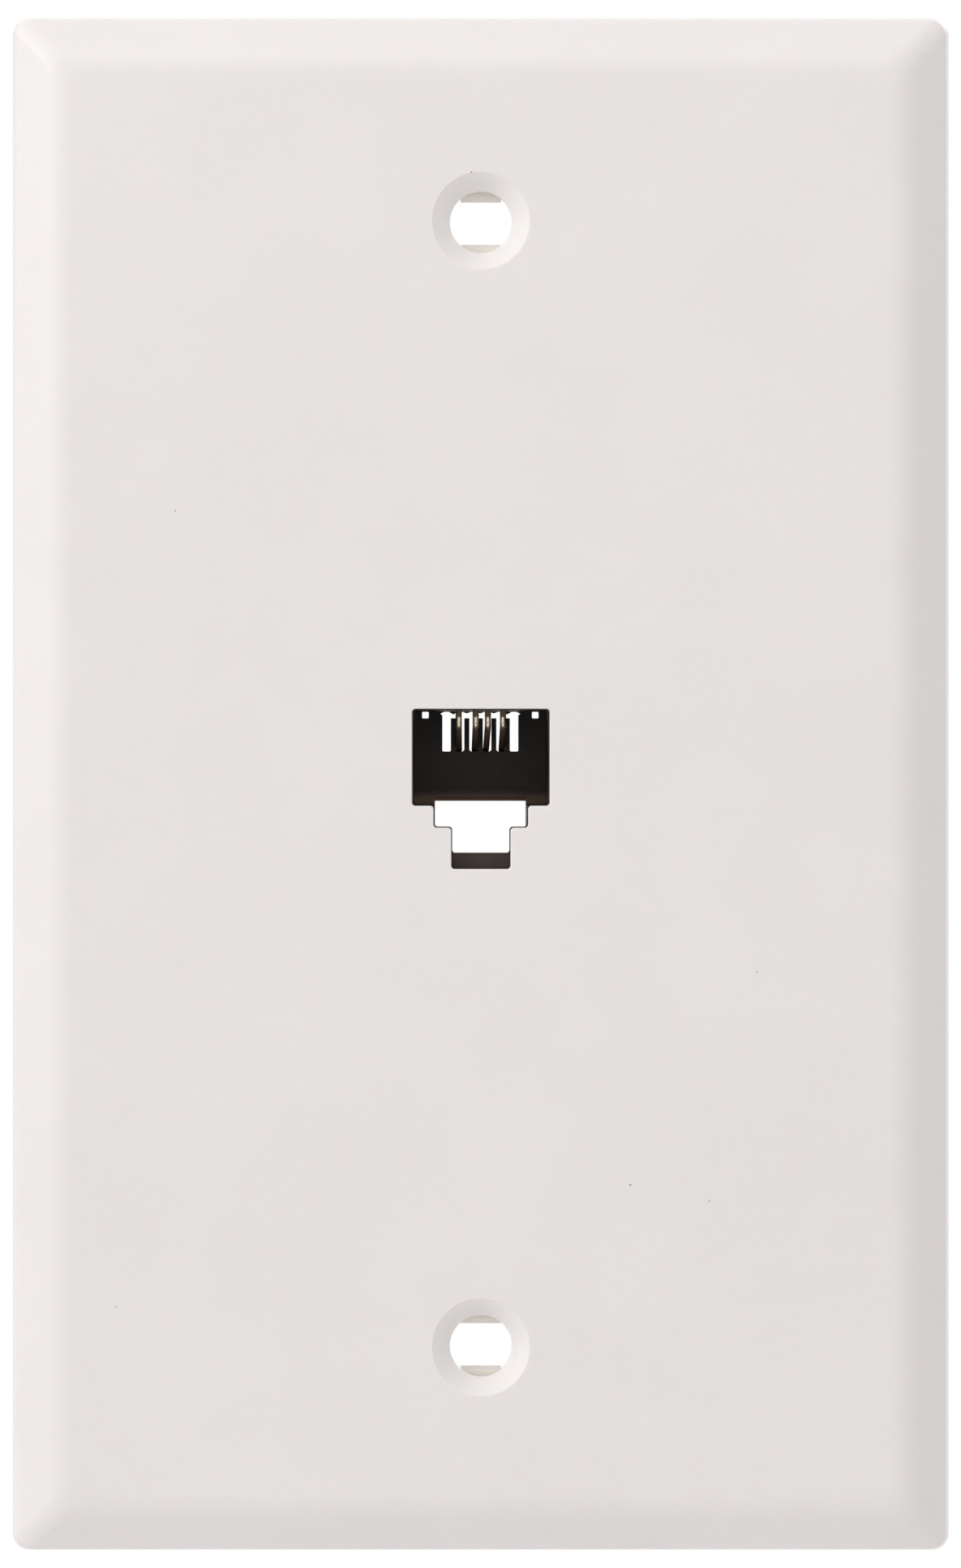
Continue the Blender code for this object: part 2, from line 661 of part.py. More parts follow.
def make_jack_body():
    radius = JACK_CORNER_RADIUS
    front_outline = rounded_rectangle(JACK_HALF, JACK_BOTTOM, JACK_TOP, radius, SMALL_CORNER_STEPS)
    tail_outline = rounded_rectangle(JACK_HALF - SHOULDER_STEP, JACK_BOTTOM + TAIL_INSET,
                                     JACK_TOP - TAIL_INSET, radius, SMALL_CORNER_STEPS)
    body = prism("jack_body", front_outline, JACK_FRONT, SHOULDER)
    join(body, prism("tail", tail_outline, SHOULDER - FUSE, JACK_BACK))
    cut_plug_cavity(body)
    cut_comb(body)
    cut_wire_ways(body)
    return dress(body, "black_nylon")


# Contacts, sleeves and the retainer

def bent_path(corners, radii, steps):
    """A wire's path, with each inner corner bent to its own radius."""
    path = [corners[0]]
    for before, corner, after, radius in zip(corners, corners[1:], corners[2:], radii):
        path += round_corner(corner, before, after, radius, steps)
    path.append(corners[-1])
    return path


def make_contact_wire(slot, lean):
    """A sprung wire: from its sleeve over the roof, down through its window, back along the groove under
    the roof, down at the knee, and straight down a slope into the comb."""
    x = comb_slot_x(slot) + lean * (COMB_SLOT_WIDTH / 2 - WIRE_RADIUS - WIRE_SIDE_GAP)
    joint = SLEEVE_FRONT + (SLEEVE_LENGTH - SLEEVE_JOINT_GAP) / 2
    fold = JACK_FRONT + FOLD_DEPTH
    knee = JACK_FRONT + KNEE_DEPTH
    roof_run = PLUG_TOP + ROOF_RUN_RISE
    tip_z = COMB_SLOT_FLOOR + TIP_HEIGHT + WIRE_RADIUS
    corners = [
        at(sleeve_x(slot), joint, WIRE_Z),
        at(sleeve_x(slot), POCKET_FRONT, WIRE_Z),
        at(x, RETAINER_FRONT, WIRE_Z),
        at(x, fold, WIRE_Z),
        at(x, fold, roof_run),
        at(x, knee, roof_run),
        at(x, knee, PLUG_TOP - KNEE_DROP),
        at(x, JACK_BACK - TIP_SETBACK, tip_z),
    ]
    radii = [SPREAD_RADIUS, SPREAD_RADIUS, FOLD_RADIUS, FOLD_RADIUS, KNEE_TOP_RADIUS, KNEE_RADIUS]
    path = bent_path(corners, radii, SMALL_CORNER_STEPS)
    wire = tube(f"contact_wire_{slot}", path, [WIRE_RADIUS] * len(path))
    return dress(wire, "gold_plate")


def make_crimp_sleeve(slot):
    start = SLEEVE_FRONT - PLATE_DEPTH
    end = SLEEVE_BACK - PLATE_DEPTH
    sleeve = turned(f"crimp_sleeve_{slot}", [(SLEEVE_BORE, start), (SLEEVE_RADIUS, start),
                                             (SLEEVE_RADIUS, end), (SLEEVE_BORE, end)],
                    SMALL_ROUND_SIDES, hollow=True)
    sleeve.data.transform(Matrix.Translation((sleeve_x(slot), 0.0, WIRE_Z)))
    return dress(sleeve, "tinned_brass")


def make_retainer():
    """A bar that fills the tray over the wires and rests on the roof with an ear at each side."""
    inner = TRAY_WIDTH / 2 - SEAT_GAP
    ear = TRAY_WIDTH / 2 + RETAINER_EAR
    low = WIRE_Z + WIRE_RADIUS + CLEARANCE
    seat = JACK_TOP + SEAT_GAP
    top = seat + RETAINER_EAR_THICKNESS
    outline = [(inner, low), (inner, seat), (ear, seat), (ear, top)]
    outline += [(-x, z) for x, z in reversed(outline)]
    return dress(prism("contact_retainer", outline, RETAINER_FRONT, RETAINER_BACK), "black_nylon")


# Terminals

def make_washer(name, side, row, depth):
    x, height = terminal_centre(side, row)
    start = depth - PLATE_DEPTH
    end = start + WASHER_THICKNESS
    washer = turned(name, [(WASHER_BORE, start), (WASHER_RADIUS, start), (WASHER_RADIUS, end),
                           (WASHER_BORE, end)], ROUND_SIDES, hollow=True)
    washer.data.transform(Matrix.Translation((x, 0.0, height)))
    return dress(washer, "brass")


def make_terminal_screw(name, side, row, slot_turn):
    """A binding-head screw: plain shank, domed head and a straight driver slot."""
    x, height = terminal_centre(side, row)
    seat = HEAD_SEAT - PLATE_DEPTH
    end = seat - SCREW_LENGTH
    profile = [(SCREW_TIP_RADIUS, end), (SCREW_RADIUS, end + SCREW_TIP_LENGTH), (SCREW_RADIUS, seat),
               (HEAD_RADIUS, seat), (HEAD_RADIUS, seat + HEAD_EDGE)]
    dome_width = HEAD_RADIUS - HEAD_FLAT_RADIUS
    dome_height = HEAD_HEIGHT - HEAD_EDGE
    for step in range(1, CORNER_STEPS + 1):
        angle = math.pi / 2 * step / CORNER_STEPS
        profile.append((HEAD_FLAT_RADIUS + dome_width * math.cos(angle),
                        seat + HEAD_EDGE + dome_height * math.sin(angle)))
    screw = turned(name, profile, SCREW_SIDES)
    reach = HEAD_RADIUS + OVERCUT
    top = HEAD_SEAT + HEAD_HEIGHT
    slot = block("driver_slot", (-reach, reach), (top - DRIVER_SLOT_DEPTH, top + OVERCUT),
                 (-DRIVER_SLOT_WIDTH / 2, DRIVER_SLOT_WIDTH / 2))
    slot.data.transform(Matrix.Rotation(slot_turn, 4, "Y"))
    cut(screw, slot)
    screw.data.transform(Matrix.Translation((x, 0.0, height)))
    return dress(screw, "brass")


def lug_outline():
    """A fork round the screw and a neck towards the barrel, as (across, along) points."""
    half = LUG_WIDTH / 2
    slot = LUG_SLOT_WIDTH / 2
    neck = LUG_NECK_WIDTH / 2
    neck_angle = math.asin(neck / half)
    right = [(slot, -LUG_TONGUE), (half - LUG_TIP_CHAMFER, -LUG_TONGUE),
             (half, -LUG_TONGUE + LUG_TIP_CHAMFER)]
    for step in range(CORNER_STEPS + 1):
        angle = (math.pi / 2 - neck_angle) * step / CORNER_STEPS
        right.append((half * math.cos(angle), half * math.sin(angle)))
    right.append((neck, BARREL_OFFSET + FUSE))
    inner = []
    for step in range(2 * CORNER_STEPS + 1):
        angle = math.pi * step / (2 * CORNER_STEPS)
        inner.append((-slot * math.cos(angle), slot * math.sin(angle)))
    return right + [(-x, z) for x, z in reversed(right)] + inner


def lug_place(side, row, tilt):
    """The lug's place: its barrel points up, tilted towards the jack."""
    x, height = terminal_centre(side, row)
    return Matrix.Translation((x, 0.0, height)) @ Matrix.Rotation(-side * tilt, 4, "Y")


def make_spade_lug(name, side, row, tilt):
    middle = LUG_DEPTH + LUG_THICKNESS / 2 - PLATE_DEPTH
    lug = prism(name, lug_outline(), LUG_DEPTH, LUG_DEPTH + LUG_THICKNESS)
    profile = [(BARREL_RADIUS, 0.0), (BARREL_RADIUS, BARREL_LENGTH), (BARREL_BORE, BARREL_LENGTH),
               (BARREL_BORE, BARREL_FLOOR)]
    barrel = turned("barrel", profile, SMALL_ROUND_SIDES)
    stand = Matrix.Translation((0.0, middle, BARREL_OFFSET)) @ Matrix.Rotation(math.pi / 2, 4, "X")
    barrel.data.transform(stand)
    join(lug, barrel)
    lug.data.transform(lug_place(side, row, tilt))
    return dress(lug, "tinned_brass")


def smooth_route(points, steps):
    """A smooth curve through a route's points."""
    padded = [points[0] * 2 - points[1], *points, points[-1] * 2 - points[-2]]
    route = []
    for a, b, c, d in zip(padded, padded[1:], padded[2:], padded[3:]):
        for step in range(steps):
            t = step / steps
            route.append(b + (c - a) * (t / 2) + (a * 2 - b * 5 + c * 4 - d) * (t * t / 2)
                         + (b * 3 - a - c * 3 + d) * (t ** 3 / 2))
    return route + [points[-1]]


def make_lead(colour, slot, side, row, tilt):
    """An insulated lead with bare ends, from its crimp sleeve to the barrel of its lug."""
    x = sleeve_x(slot)
    place = lug_place(side, row, tilt)
    middle = LUG_DEPTH + LUG_THICKNESS / 2 - PLATE_DEPTH
    barrel_mouth = BARREL_OFFSET + BARREL_LENGTH
    joint = SLEEVE_FRONT + (SLEEVE_LENGTH + SLEEVE_JOINT_GAP) / 2
    start = SLEEVE_BACK + SEAT_GAP
    route_points = UPPER_ROUTE if row > 0 else LOWER_ROUTE
    route = [at(x, start, WIRE_Z), at(x, start + LEAD_STRAIGHT, WIRE_Z)]
    route += [at(side * px, depth, z) for px, depth, z in route_points]
    route += [place @ Vector((0.0, middle, barrel_mouth + SEAT_GAP + along))
              for along in (LEAD_STRAIGHT, 0.0)]
    covered = smooth_route(route, ROUTE_STEPS)
    bare_start = at(x, start - CORE_SHOULDER, WIRE_Z)
    bare_end = place @ Vector((0.0, middle, barrel_mouth + SEAT_GAP - CORE_SHOULDER))
    points = [at(x, joint, WIRE_Z), bare_start, *covered, bare_end,
              place @ Vector((0.0, middle, barrel_mouth - CORE_IN_BARREL))]
    radii = [CORE_RADIUS] * 2 + [LEAD_RADIUS] * len(covered) + [CORE_RADIUS] * 2
    return dress(tube(f"lead_{colour}", points, radii), colour)


def make_circuit(slot, colour, side, row, tilt, slot_turn, lean):
    """One of the four circuits, from its contact wire to its terminal screw."""
    make_contact_wire(slot, lean)
    make_crimp_sleeve(slot)
    make_lead(colour, slot, side, row, tilt)
    make_washer(f"washer_lower_{colour}", side, row, LOWER_WASHER)
    make_spade_lug(f"spade_lug_{colour}", side, row, tilt)
    make_washer(f"washer_upper_{colour}", side, row, UPPER_WASHER)
    make_terminal_screw(f"terminal_screw_{colour}", side, row, slot_turn)


clear_scene()
make_wall_plate()
make_jack_body()
make_retainer()
for circuit in CIRCUITS:
    make_circuit(*circuit)
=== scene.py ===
"""Looks of the telephone wall socket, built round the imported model.

Frame: metres, +Z up. The plate faces -Y, its back plane is Y = 0, and the jack and terminals lie behind it.
"""
import math
from collections import namedtuple

import bmesh
import bpy
from mathutils import Matrix, Vector


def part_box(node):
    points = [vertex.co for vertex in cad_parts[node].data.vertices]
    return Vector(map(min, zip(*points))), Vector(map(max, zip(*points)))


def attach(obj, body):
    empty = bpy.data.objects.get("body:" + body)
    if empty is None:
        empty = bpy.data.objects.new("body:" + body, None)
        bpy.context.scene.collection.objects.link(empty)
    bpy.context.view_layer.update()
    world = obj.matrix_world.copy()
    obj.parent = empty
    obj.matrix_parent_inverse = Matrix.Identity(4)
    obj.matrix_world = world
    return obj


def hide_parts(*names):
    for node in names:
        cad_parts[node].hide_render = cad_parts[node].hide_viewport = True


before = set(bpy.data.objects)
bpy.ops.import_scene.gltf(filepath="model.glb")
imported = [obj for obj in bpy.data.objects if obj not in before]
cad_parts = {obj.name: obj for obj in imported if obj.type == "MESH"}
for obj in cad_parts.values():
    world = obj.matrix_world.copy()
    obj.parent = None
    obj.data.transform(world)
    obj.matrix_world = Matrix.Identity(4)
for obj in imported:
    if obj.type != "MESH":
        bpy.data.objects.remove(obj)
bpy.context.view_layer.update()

MM = 0.001


# The wall plate is one injection moulding in satin white ABS, with a sloped border round its flat face.
# The rim, ribs, screw bosses, terminal posts, jack frame and snap arms behind the face are part of it.
# Two countersunk screws hold it to the box in the wall, and nibs in their holes keep them from falling out.

plate_low, plate_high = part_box("wall_plate")
PLATE_DEPTH = -plate_low.y
SIDE_INSET = 0.4 * MM
BEVEL_WIDTH = 3.1 * MM
BEVEL_DROP = 2 * MM
SKIN = 2 * MM
RIM_WALL = 2 * MM
OUTLINE_RADIUS = 1.25 * MM
BORDER_RADII = (4 * MM, 0.5 * MM, 0.2 * MM, 0.25 * MM, 0.5 * MM, 0.8 * MM)
FLAT_MARGIN = 1.5 * MM
ROOT_FILLET = 0.25 * MM
EDGE_RADIUS = 0.2 * MM
FUSE = 0.4 * MM
OVERCUT = 1 * MM
ARC_STEPS = 6
SMALL_ARC_STEPS = 3
SHARP_ANGLE = math.radians(35)


def angles(turn, steps):
    """The angles from nothing up to a turn, in equal steps."""
    return [turn * step / steps for step in range(steps + 1)]


QUARTER = angles(math.pi / 2, ARC_STEPS)


def at(x, depth, height):
    """A point given by its depth behind the plate's front face."""
    return Vector((x, depth - PLATE_DEPTH, height))


def solid(name, rings):
    """A closed mesh through rings that have equal point counts."""
    builder = bmesh.new()
    loops = [[builder.verts.new(point) for point in ring] for ring in rings]
    builder.faces.new(loops[0])
    builder.faces.new(loops[-1])
    for near, far in zip(loops, loops[1:]):
        for index in range(len(near)):
            after = (index + 1) % len(near)
            builder.faces.new((near[index], near[after], far[after], far[index]))
    bmesh.ops.recalc_face_normals(builder, faces=builder.faces)
    mesh = bpy.data.meshes.new(name)
    builder.to_mesh(mesh)
    builder.free()
    piece = bpy.data.objects.new(name, mesh)
    bpy.context.scene.collection.objects.link(piece)
    return piece


def round_corner(corner, before, after, radius, steps):
    """The arc that rounds one corner of a path or outline."""
    to_before = (before - corner).normalized()
    to_after = (after - corner).normalized()
    half_angle = to_before.angle(to_after) / 2
    centre = corner + (to_before + to_after).normalized() * radius / math.sin(half_angle)
    start = corner + to_before * radius / math.tan(half_angle) - centre
    end = corner + to_after * radius / math.tan(half_angle) - centre
    sweep = start.angle(end)
    points = []
    for step in range(steps + 1):
        share = step / steps
        swung = start * math.sin((1 - share) * sweep) + end * math.sin(share * sweep)
        points.append(centre + swung / math.sin(sweep))
    return points


def rounded_path(corners, radii, steps=ARC_STEPS):
    """An open path with each inner corner rounded to its own radius."""
    corners = [Vector(corner) for corner in corners]
    path = [corners[0]]
    for before, corner, after, radius in zip(corners, corners[1:], corners[2:], radii):
        path += round_corner(corner, before, after, radius, steps)
    return path + [corners[-1]]


def rounded_outline(corners, radius, steps=ARC_STEPS):
    """A closed outline with all of its corners rounded."""
    corners = [Vector(corner) for corner in corners]
    outline = []
    for index, corner in enumerate(corners):
        after = corners[(index + 1) % len(corners)]
        outline += round_corner(corner, corners[index - 1], after, radius, steps)
    return outline


def rectangle(x_range, z_range, radius, steps=ARC_STEPS):
    """Returns a function that gives a rounded rectangle grown by some amount."""
    def outline(grow):
        left, right = min(x_range) - grow, max(x_range) + grow
        low, high = min(z_range) - grow, max(z_range) + grow
        return rounded_outline([(left, low), (right, low), (right, high), (left, high)], radius, steps)
    return outline


def circle(x, height, radius, sides):
    """Returns a function that gives a circle grown by some amount."""
    def outline(grow):
        return [Vector((x + (radius + grow) * math.cos(a), height + (radius + grow) * math.sin(a)))
                for a in angles(math.tau, sides)[:-1]]
    return outline


def carried(name, outline, start, end, flare=0.0, edge=0.0, lead=FUSE):
    """An outline carried from one depth to another.

    It flares where it starts, like a root fillet or the lip of an opening, and its far edge is rounded.
    """
    stations = [(start - lead, flare)]
    stations += [(start + flare * (1 - math.cos(a)), flare * (1 - math.sin(a))) for a in QUARTER]
    stations += [(end - edge * (1 - math.sin(a)), edge * (math.cos(a) - 1)) for a in QUARTER]
    kept = [stations[0]]
    for station in stations[1:]:
        if station[0] - kept[-1][0] > MM / 1000:
            kept.append(station)
    return solid(name, [[at(x, depth, z) for x, z in outline(grow)] for depth, grow in kept])


def apply_modifiers(piece):
    """Turns a piece into the plain mesh that its modifiers give."""
    graph = bpy.context.evaluated_depsgraph_get()
    result = bpy.data.meshes.new_from_object(piece.evaluated_get(graph))
    piece.modifiers.clear()
    piece.data = result


def combine(piece, operation, tools):
    """Joins or cuts a piece with a group of tool solids, which are used up."""
    group = bpy.data.collections.new(operation)
    bpy.context.scene.collection.children.link(group)
    for tool in tools:
        group.objects.link(tool)
    modifier = piece.modifiers.new(operation, "BOOLEAN")
    modifier.operation = operation
    modifier.solver = "EXACT"
    modifier.operand_type = "COLLECTION"
    modifier.collection = group
    apply_modifiers(piece)
    for tool in tools:
        bpy.data.objects.remove(tool, do_unlink=True)
    bpy.data.collections.remove(group)


def shade(piece):
    """Smooth shading that keeps flat faces flat beside rounded edges."""
    piece.data.shade_smooth()
    piece.data.set_sharp_from_angle(angle=SHARP_ANGLE)
    weighting = piece.modifiers.new("flat_faces", "WEIGHTED_NORMAL")
    weighting.keep_sharp = True
    apply_modifiers(piece)


def border_section():
    """The plate's section as (inset, depth): flat front, slope, rim and the hollow behind them."""
    tilt = math.atan2(BEVEL_DROP, BEVEL_WIDTH)
    knee = BEVEL_DROP + (SKIN - (RIM_WALL - SIDE_INSET) * math.sin(tilt)) / math.cos(tilt)
    slope_end = SIDE_INSET + (SKIN + (BEVEL_DROP - SKIN) * math.cos(tilt)) / math.sin(tilt)
    face_edge = SIDE_INSET + BEVEL_WIDTH
    corners = [(face_edge + FLAT_MARGIN, 0), (face_edge, 0), (SIDE_INSET, BEVEL_DROP), (0, PLATE_DEPTH),
               (RIM_WALL, PLATE_DEPTH), (RIM_WALL, knee), (slope_end, SKIN),
               (slope_end + FLAT_MARGIN, SKIN)]
    return rounded_path(corners, BORDER_RADII)


def plate_shell():
    full = rectangle((plate_low.x, plate_high.x), (plate_low.z, plate_high.z), OUTLINE_RADIUS,
                     2 * ARC_STEPS)
    rings = [[at(x, depth, z) for x, z in full(-inset)] for inset, depth in border_section()]
    return solid("wall_plate_moulding", rings)


# The ribs stand behind the skin: two long ones, two cross ones and a short one from each terminal post.
RIB_THICKNESS = 1.2 * MM
RIB_BACK = PLATE_DEPTH - 1.2 * MM
LONG_RIB_X = 23.75 * MM
LONG_RIB_END = plate_high.z - RIM_WALL - 3.5 * MM
CROSS_RIB_Z = 25 * MM
TERMINAL_X = 16 * MM
TERMINAL_Z = 9.5 * MM
POST_SIDE = 9 * MM
POST_TOP = SKIN + 6.4 * MM
POST_CORNER_RADIUS = 0.8 * MM
PILOT_RADIUS = 1.5 * MM
PILOT_START = SKIN + 0.8 * MM
PILOT_SIDES = 32
RIB_CORNER_RADIUS = 0.3 * MM


def ribs():
    half = RIB_THICKNESS / 2
    tools = []
    for side in (-1, 1):
        rib_x = side * LONG_RIB_X
        runs = [((rib_x - half, rib_x + half), (-LONG_RIB_END, LONG_RIB_END)),
                ((-LONG_RIB_X, LONG_RIB_X), (side * CROSS_RIB_Z - half, side * CROSS_RIB_Z + half))]
        for row in (-1, 1):
            height = row * TERMINAL_Z
            post_side = side * (TERMINAL_X + POST_SIDE / 2 - FUSE)
            runs.append(((post_side, rib_x), (height - half, height + half)))
        for x_range, z_range in runs:
            outline = rectangle(x_range, z_range, RIB_CORNER_RADIUS, SMALL_ARC_STEPS)
            tools.append(carried("rib", outline, SKIN, RIB_BACK, ROOT_FILLET, EDGE_RADIUS))
    return tools


def terminal_places():
    return [(side * TERMINAL_X, row * TERMINAL_Z) for side in (-1, 1) for row in (-1, 1)]


def posts():
    half = POST_SIDE / 2
    return [carried("post", rectangle((x - half, x + half), (z - half, z + half), POST_CORNER_RADIUS),
                    SKIN, POST_TOP, ROOT_FILLET, EDGE_RADIUS) for x, z in terminal_places()]


def pilot_holes():
    return [carried("pilot", circle(x, z, PILOT_RADIUS, PILOT_SIDES), PILOT_START, POST_TOP + OVERCUT,
                    lead=0.0)
            for x, z in terminal_places()]


# The mounting holes sit in round bosses, each with two nibs across the bore.
MOUNT_Z = 41.67 * MM
HOLE_RADIUS = 2.3 * MM
COUNTERSINK_RADIUS = 3.6 * MM
COUNTERSINK_ANGLE = math.radians(82)
COUNTERSINK_LIP = 0.12 * MM
BORE_DEPTH = 2.4 * MM
BORE_RELIEF_RADIUS = 2.6 * MM
BOSS_RADIUS = HOLE_RADIUS + 2.2 * MM
BOSS_BACK = SKIN + 2.7 * MM
NIB_HALF_WIDTH = 1.5 * MM
NIB_ROOT_HALF_WIDTH = 1.25 * MM
NIB_GAP = 3.17 * MM
NIB_FRONT = 2.9 * MM
NIB_BACK = 3.7 * MM
NIB_CHAMFER = 0.3 * MM
NIB_RADIUS = 0.04 * MM
HOLE_SIDES = 96


def nib(height, side):
    """A nib across the hole, wider at its tip than at its root, with its front edge chamfered."""
    root = BORE_RELIEF_RADIUS + OVERCUT
    rings = []
    for depth, back_off in ((NIB_FRONT, NIB_CHAMFER), (NIB_FRONT + NIB_CHAMFER, 0.0), (NIB_BACK, 0.0)):
        tip = NIB_GAP / 2 + back_off
        corners = [(-NIB_HALF_WIDTH, tip), (NIB_HALF_WIDTH, tip), (NIB_ROOT_HALF_WIDTH, root),
                   (-NIB_ROOT_HALF_WIDTH, root)]
        outline = rounded_outline(corners, NIB_RADIUS, SMALL_ARC_STEPS)
        rings.append([at(x, depth, height + side * z) for x, z in outline])
    return solid("nib", rings)


def mounting_drill(height):
    """The hole's tool: lip, countersink, bore and wider back, less the two nibs that stay in the plate."""
    half_angle = COUNTERSINK_ANGLE / 2
    cone_depth = (COUNTERSINK_RADIUS - HOLE_RADIUS) / math.tan(half_angle)
    profile = [Vector(point) for point in (
        (COUNTERSINK_RADIUS + 2 * OVERCUT, 0), (COUNTERSINK_RADIUS, 0), (HOLE_RADIUS, cone_depth),
        (HOLE_RADIUS, BORE_DEPTH), (BORE_RELIEF_RADIUS, BORE_DEPTH),
        (BORE_RELIEF_RADIUS, BOSS_BACK + OVERCUT))]
    lip = round_corner(profile[1], profile[0], profile[2], COUNTERSINK_LIP, ARC_STEPS)
    edge = round_corner(profile[2], profile[1], profile[3], COUNTERSINK_LIP, ARC_STEPS)
    stations = [(lip[0].x, -OVERCUT), *lip, *edge, *profile[3:]]
    rings = [[at(x, depth, z) for x, z in circle(0, height, radius, HOLE_SIDES)(0)]
             for radius, depth in stations]
    drill = solid("drill", rings)
    combine(drill, "DIFFERENCE", [nib(height, side) for side in (-1, 1)])
    return drill


def bosses():
    return [carried("boss", circle(0, side * MOUNT_Z, BOSS_RADIUS, HOLE_SIDES), SKIN, BOSS_BACK,
                    ROOT_FILLET, EDGE_RADIUS) for side in (-1, 1)]


# The jack bay: the plug opening, the pocket behind it, and the frame and two snap arms that hold the jack.
PLUG_HALF = 5.085 * MM
PLUG_TOP = 5.56 * MM
PLUG_FLOOR = -1.61 * MM
LATCH_STEP_HALF = 3.5 * MM
LATCH_STEP_FLOOR = -3.23 * MM
LATCH_SLOT_HALF = 2.19 * MM
LATCH_SLOT_FLOOR = -6.29 * MM
OPENING_RADIUS = 0.25 * MM
OPENING_LIP = 0.1 * MM
BAY_SKIN = 1.2 * MM
SEAT_GAP = 0.3 * MM
FRAME_WALL = 1.4 * MM
FRAME_BACK = 6.4 * MM
ARM_HALF = 3.5 * MM
ARM_RELIEF = 0.8 * MM
HOOK_REACH = 0.9 * MM
HOOK_LENGTH = 1.6 * MM
SHOULDER = 8.7 * MM
jack_low, jack_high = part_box("jack_body")


def stepped_opening(floor):
    """Returns a function that gives the outline of plug, latch step and slot, grown by some amount."""
    def outline(grow):
        plug = PLUG_HALF + grow
        step = LATCH_STEP_HALF + grow
        slot = LATCH_SLOT_HALF + grow
        step_z = LATCH_STEP_FLOOR - grow
        right = [(slot, floor - grow), (slot, step_z), (step, step_z), (step, PLUG_FLOOR - grow),
                 (plug, PLUG_FLOOR - grow), (plug, PLUG_TOP + grow)]
        left = [(-x, z) for x, z in reversed(right)]
        return rounded_outline(right + left, OPENING_RADIUS)
    return outline


def jack_bay():
    """The solids that join the plate and those that cut it, round the jack."""
    inner = jack_high.x + SEAT_GAP
    outer = inner + FRAME_WALL
    low = jack_low.z - SEAT_GAP
    high = jack_high.z + SEAT_GAP
    hook_front = SHOULDER + SEAT_GAP
    hook_tip = inner - HOOK_REACH
    added = [carried("frame", rectangle((-outer, outer), (low - FRAME_WALL, high + FRAME_WALL),
                                        POST_CORNER_RADIUS), SKIN, FRAME_BACK, ROOT_FILLET, EDGE_RADIUS)]
    cutters = [carried("pocket", rectangle((-inner, inner), (low, high), EDGE_RADIUS), BAY_SKIN,
                       FRAME_BACK + OVERCUT, lead=0.0),
               carried("opening", stepped_opening(LATCH_SLOT_FLOOR), 0.0, BAY_SKIN + OVERCUT, OPENING_LIP)]
    for side in (-1, 1):
        for row in (-1, 1):
            cutters.append(carried("relief", rectangle((side * (inner - FUSE), side * (outer + FUSE)),
                                                       (row * ARM_HALF, row * (ARM_HALF + ARM_RELIEF)),
                                                       EDGE_RADIUS), SKIN, FRAME_BACK + OVERCUT, lead=0.0))
        hook = [(outer, FRAME_BACK - FUSE), (inner, FRAME_BACK - FUSE), (inner, hook_front),
                (hook_tip, hook_front), (hook_tip, hook_front + FUSE), (inner, hook_front + HOOK_LENGTH),
                (outer, hook_front + HOOK_LENGTH)]
        section = rounded_outline(hook, EDGE_RADIUS / 2)
        rings = [[at(side * x, depth, z) for x, depth in section] for z in (-ARM_HALF, ARM_HALF)]
        added.append(solid("snap_arm", rings))
    return added, cutters


plate = plate_shell()
bay_added, bay_cutters = jack_bay()
combine(plate, "UNION", [*ribs(), *posts(), *bosses(), *bay_added])
combine(plate, "DIFFERENCE",
        [*pilot_holes(), *bay_cutters, *(mounting_drill(side * MOUNT_Z) for side in (-1, 1))])
shade(plate)


class Socket:
    """A node's output, on which sums are written as plain expressions."""

    def __init__(self, graph, output):
        self.graph = graph
        self.output = output

    def __add__(self, other):
        return self.graph.maths("ADD", self, other)

    def __sub__(self, other):
        return self.graph.maths("SUBTRACT", self, other)

    def __rsub__(self, other):
        return self.graph.maths("SUBTRACT", other, self)

    def __mul__(self, other):
        return self.graph.maths("MULTIPLY", self, other)

    def __truediv__(self, other):
        return self.graph.maths("DIVIDE", self, other)

    __radd__ = __add__
    __rmul__ = __mul__


class Graph:
    """A node tree that is written as calls."""

    def __init__(self, tree):
        self.tree = tree

    def node(self, kind, settings=None, *values, out=0, **named):
        """Adds a node, with its settings first and then its sockets, and returns one of its outputs."""
        made = self.tree.nodes.new(kind)
        for name, value in (settings or {}).items():
            setattr(made, name, value)
        for key, value in [*enumerate(values), *named.items()]:
            self.feed(made, key, value)
        return Socket(self, made.outputs[out])

    def feed(self, made, key, value):
        """Links or sets one socket of a node."""
        if isinstance(value, Socket):
            self.tree.links.new(value.output, made.inputs[key])
        else:
            made.inputs[key].default_value = value

    def maths(self, operation, *values):
        return self.node("ShaderNodeMath", {"operation": operation}, *values)

    def part(self, vector, axis):
        """One component of a vector."""
        return self.node("ShaderNodeSeparateXYZ", None, vector, out=axis)

    def joined(self, *parts):
        """Several geometries as one."""
        made = self.tree.nodes.new("GeometryNodeJoinGeometry")
        for part in parts:
            self.feed(made, 0, part)
        return Socket(self, made.outputs[0])

    def spread(self, value, low, high, new_low=0.0, new_high=1.0):
        """A value's range stretched to another, and held at its ends."""
        return self.node("ShaderNodeMapRange", {"interpolation_type": "SMOOTHSTEP"}, value, low, high,
                         new_low, new_high)

    def fade(self, value, low, high):
        """One up to the low value, and nothing from the high one on."""
        return self.spread(value, low, high, 1.0, 0.0)


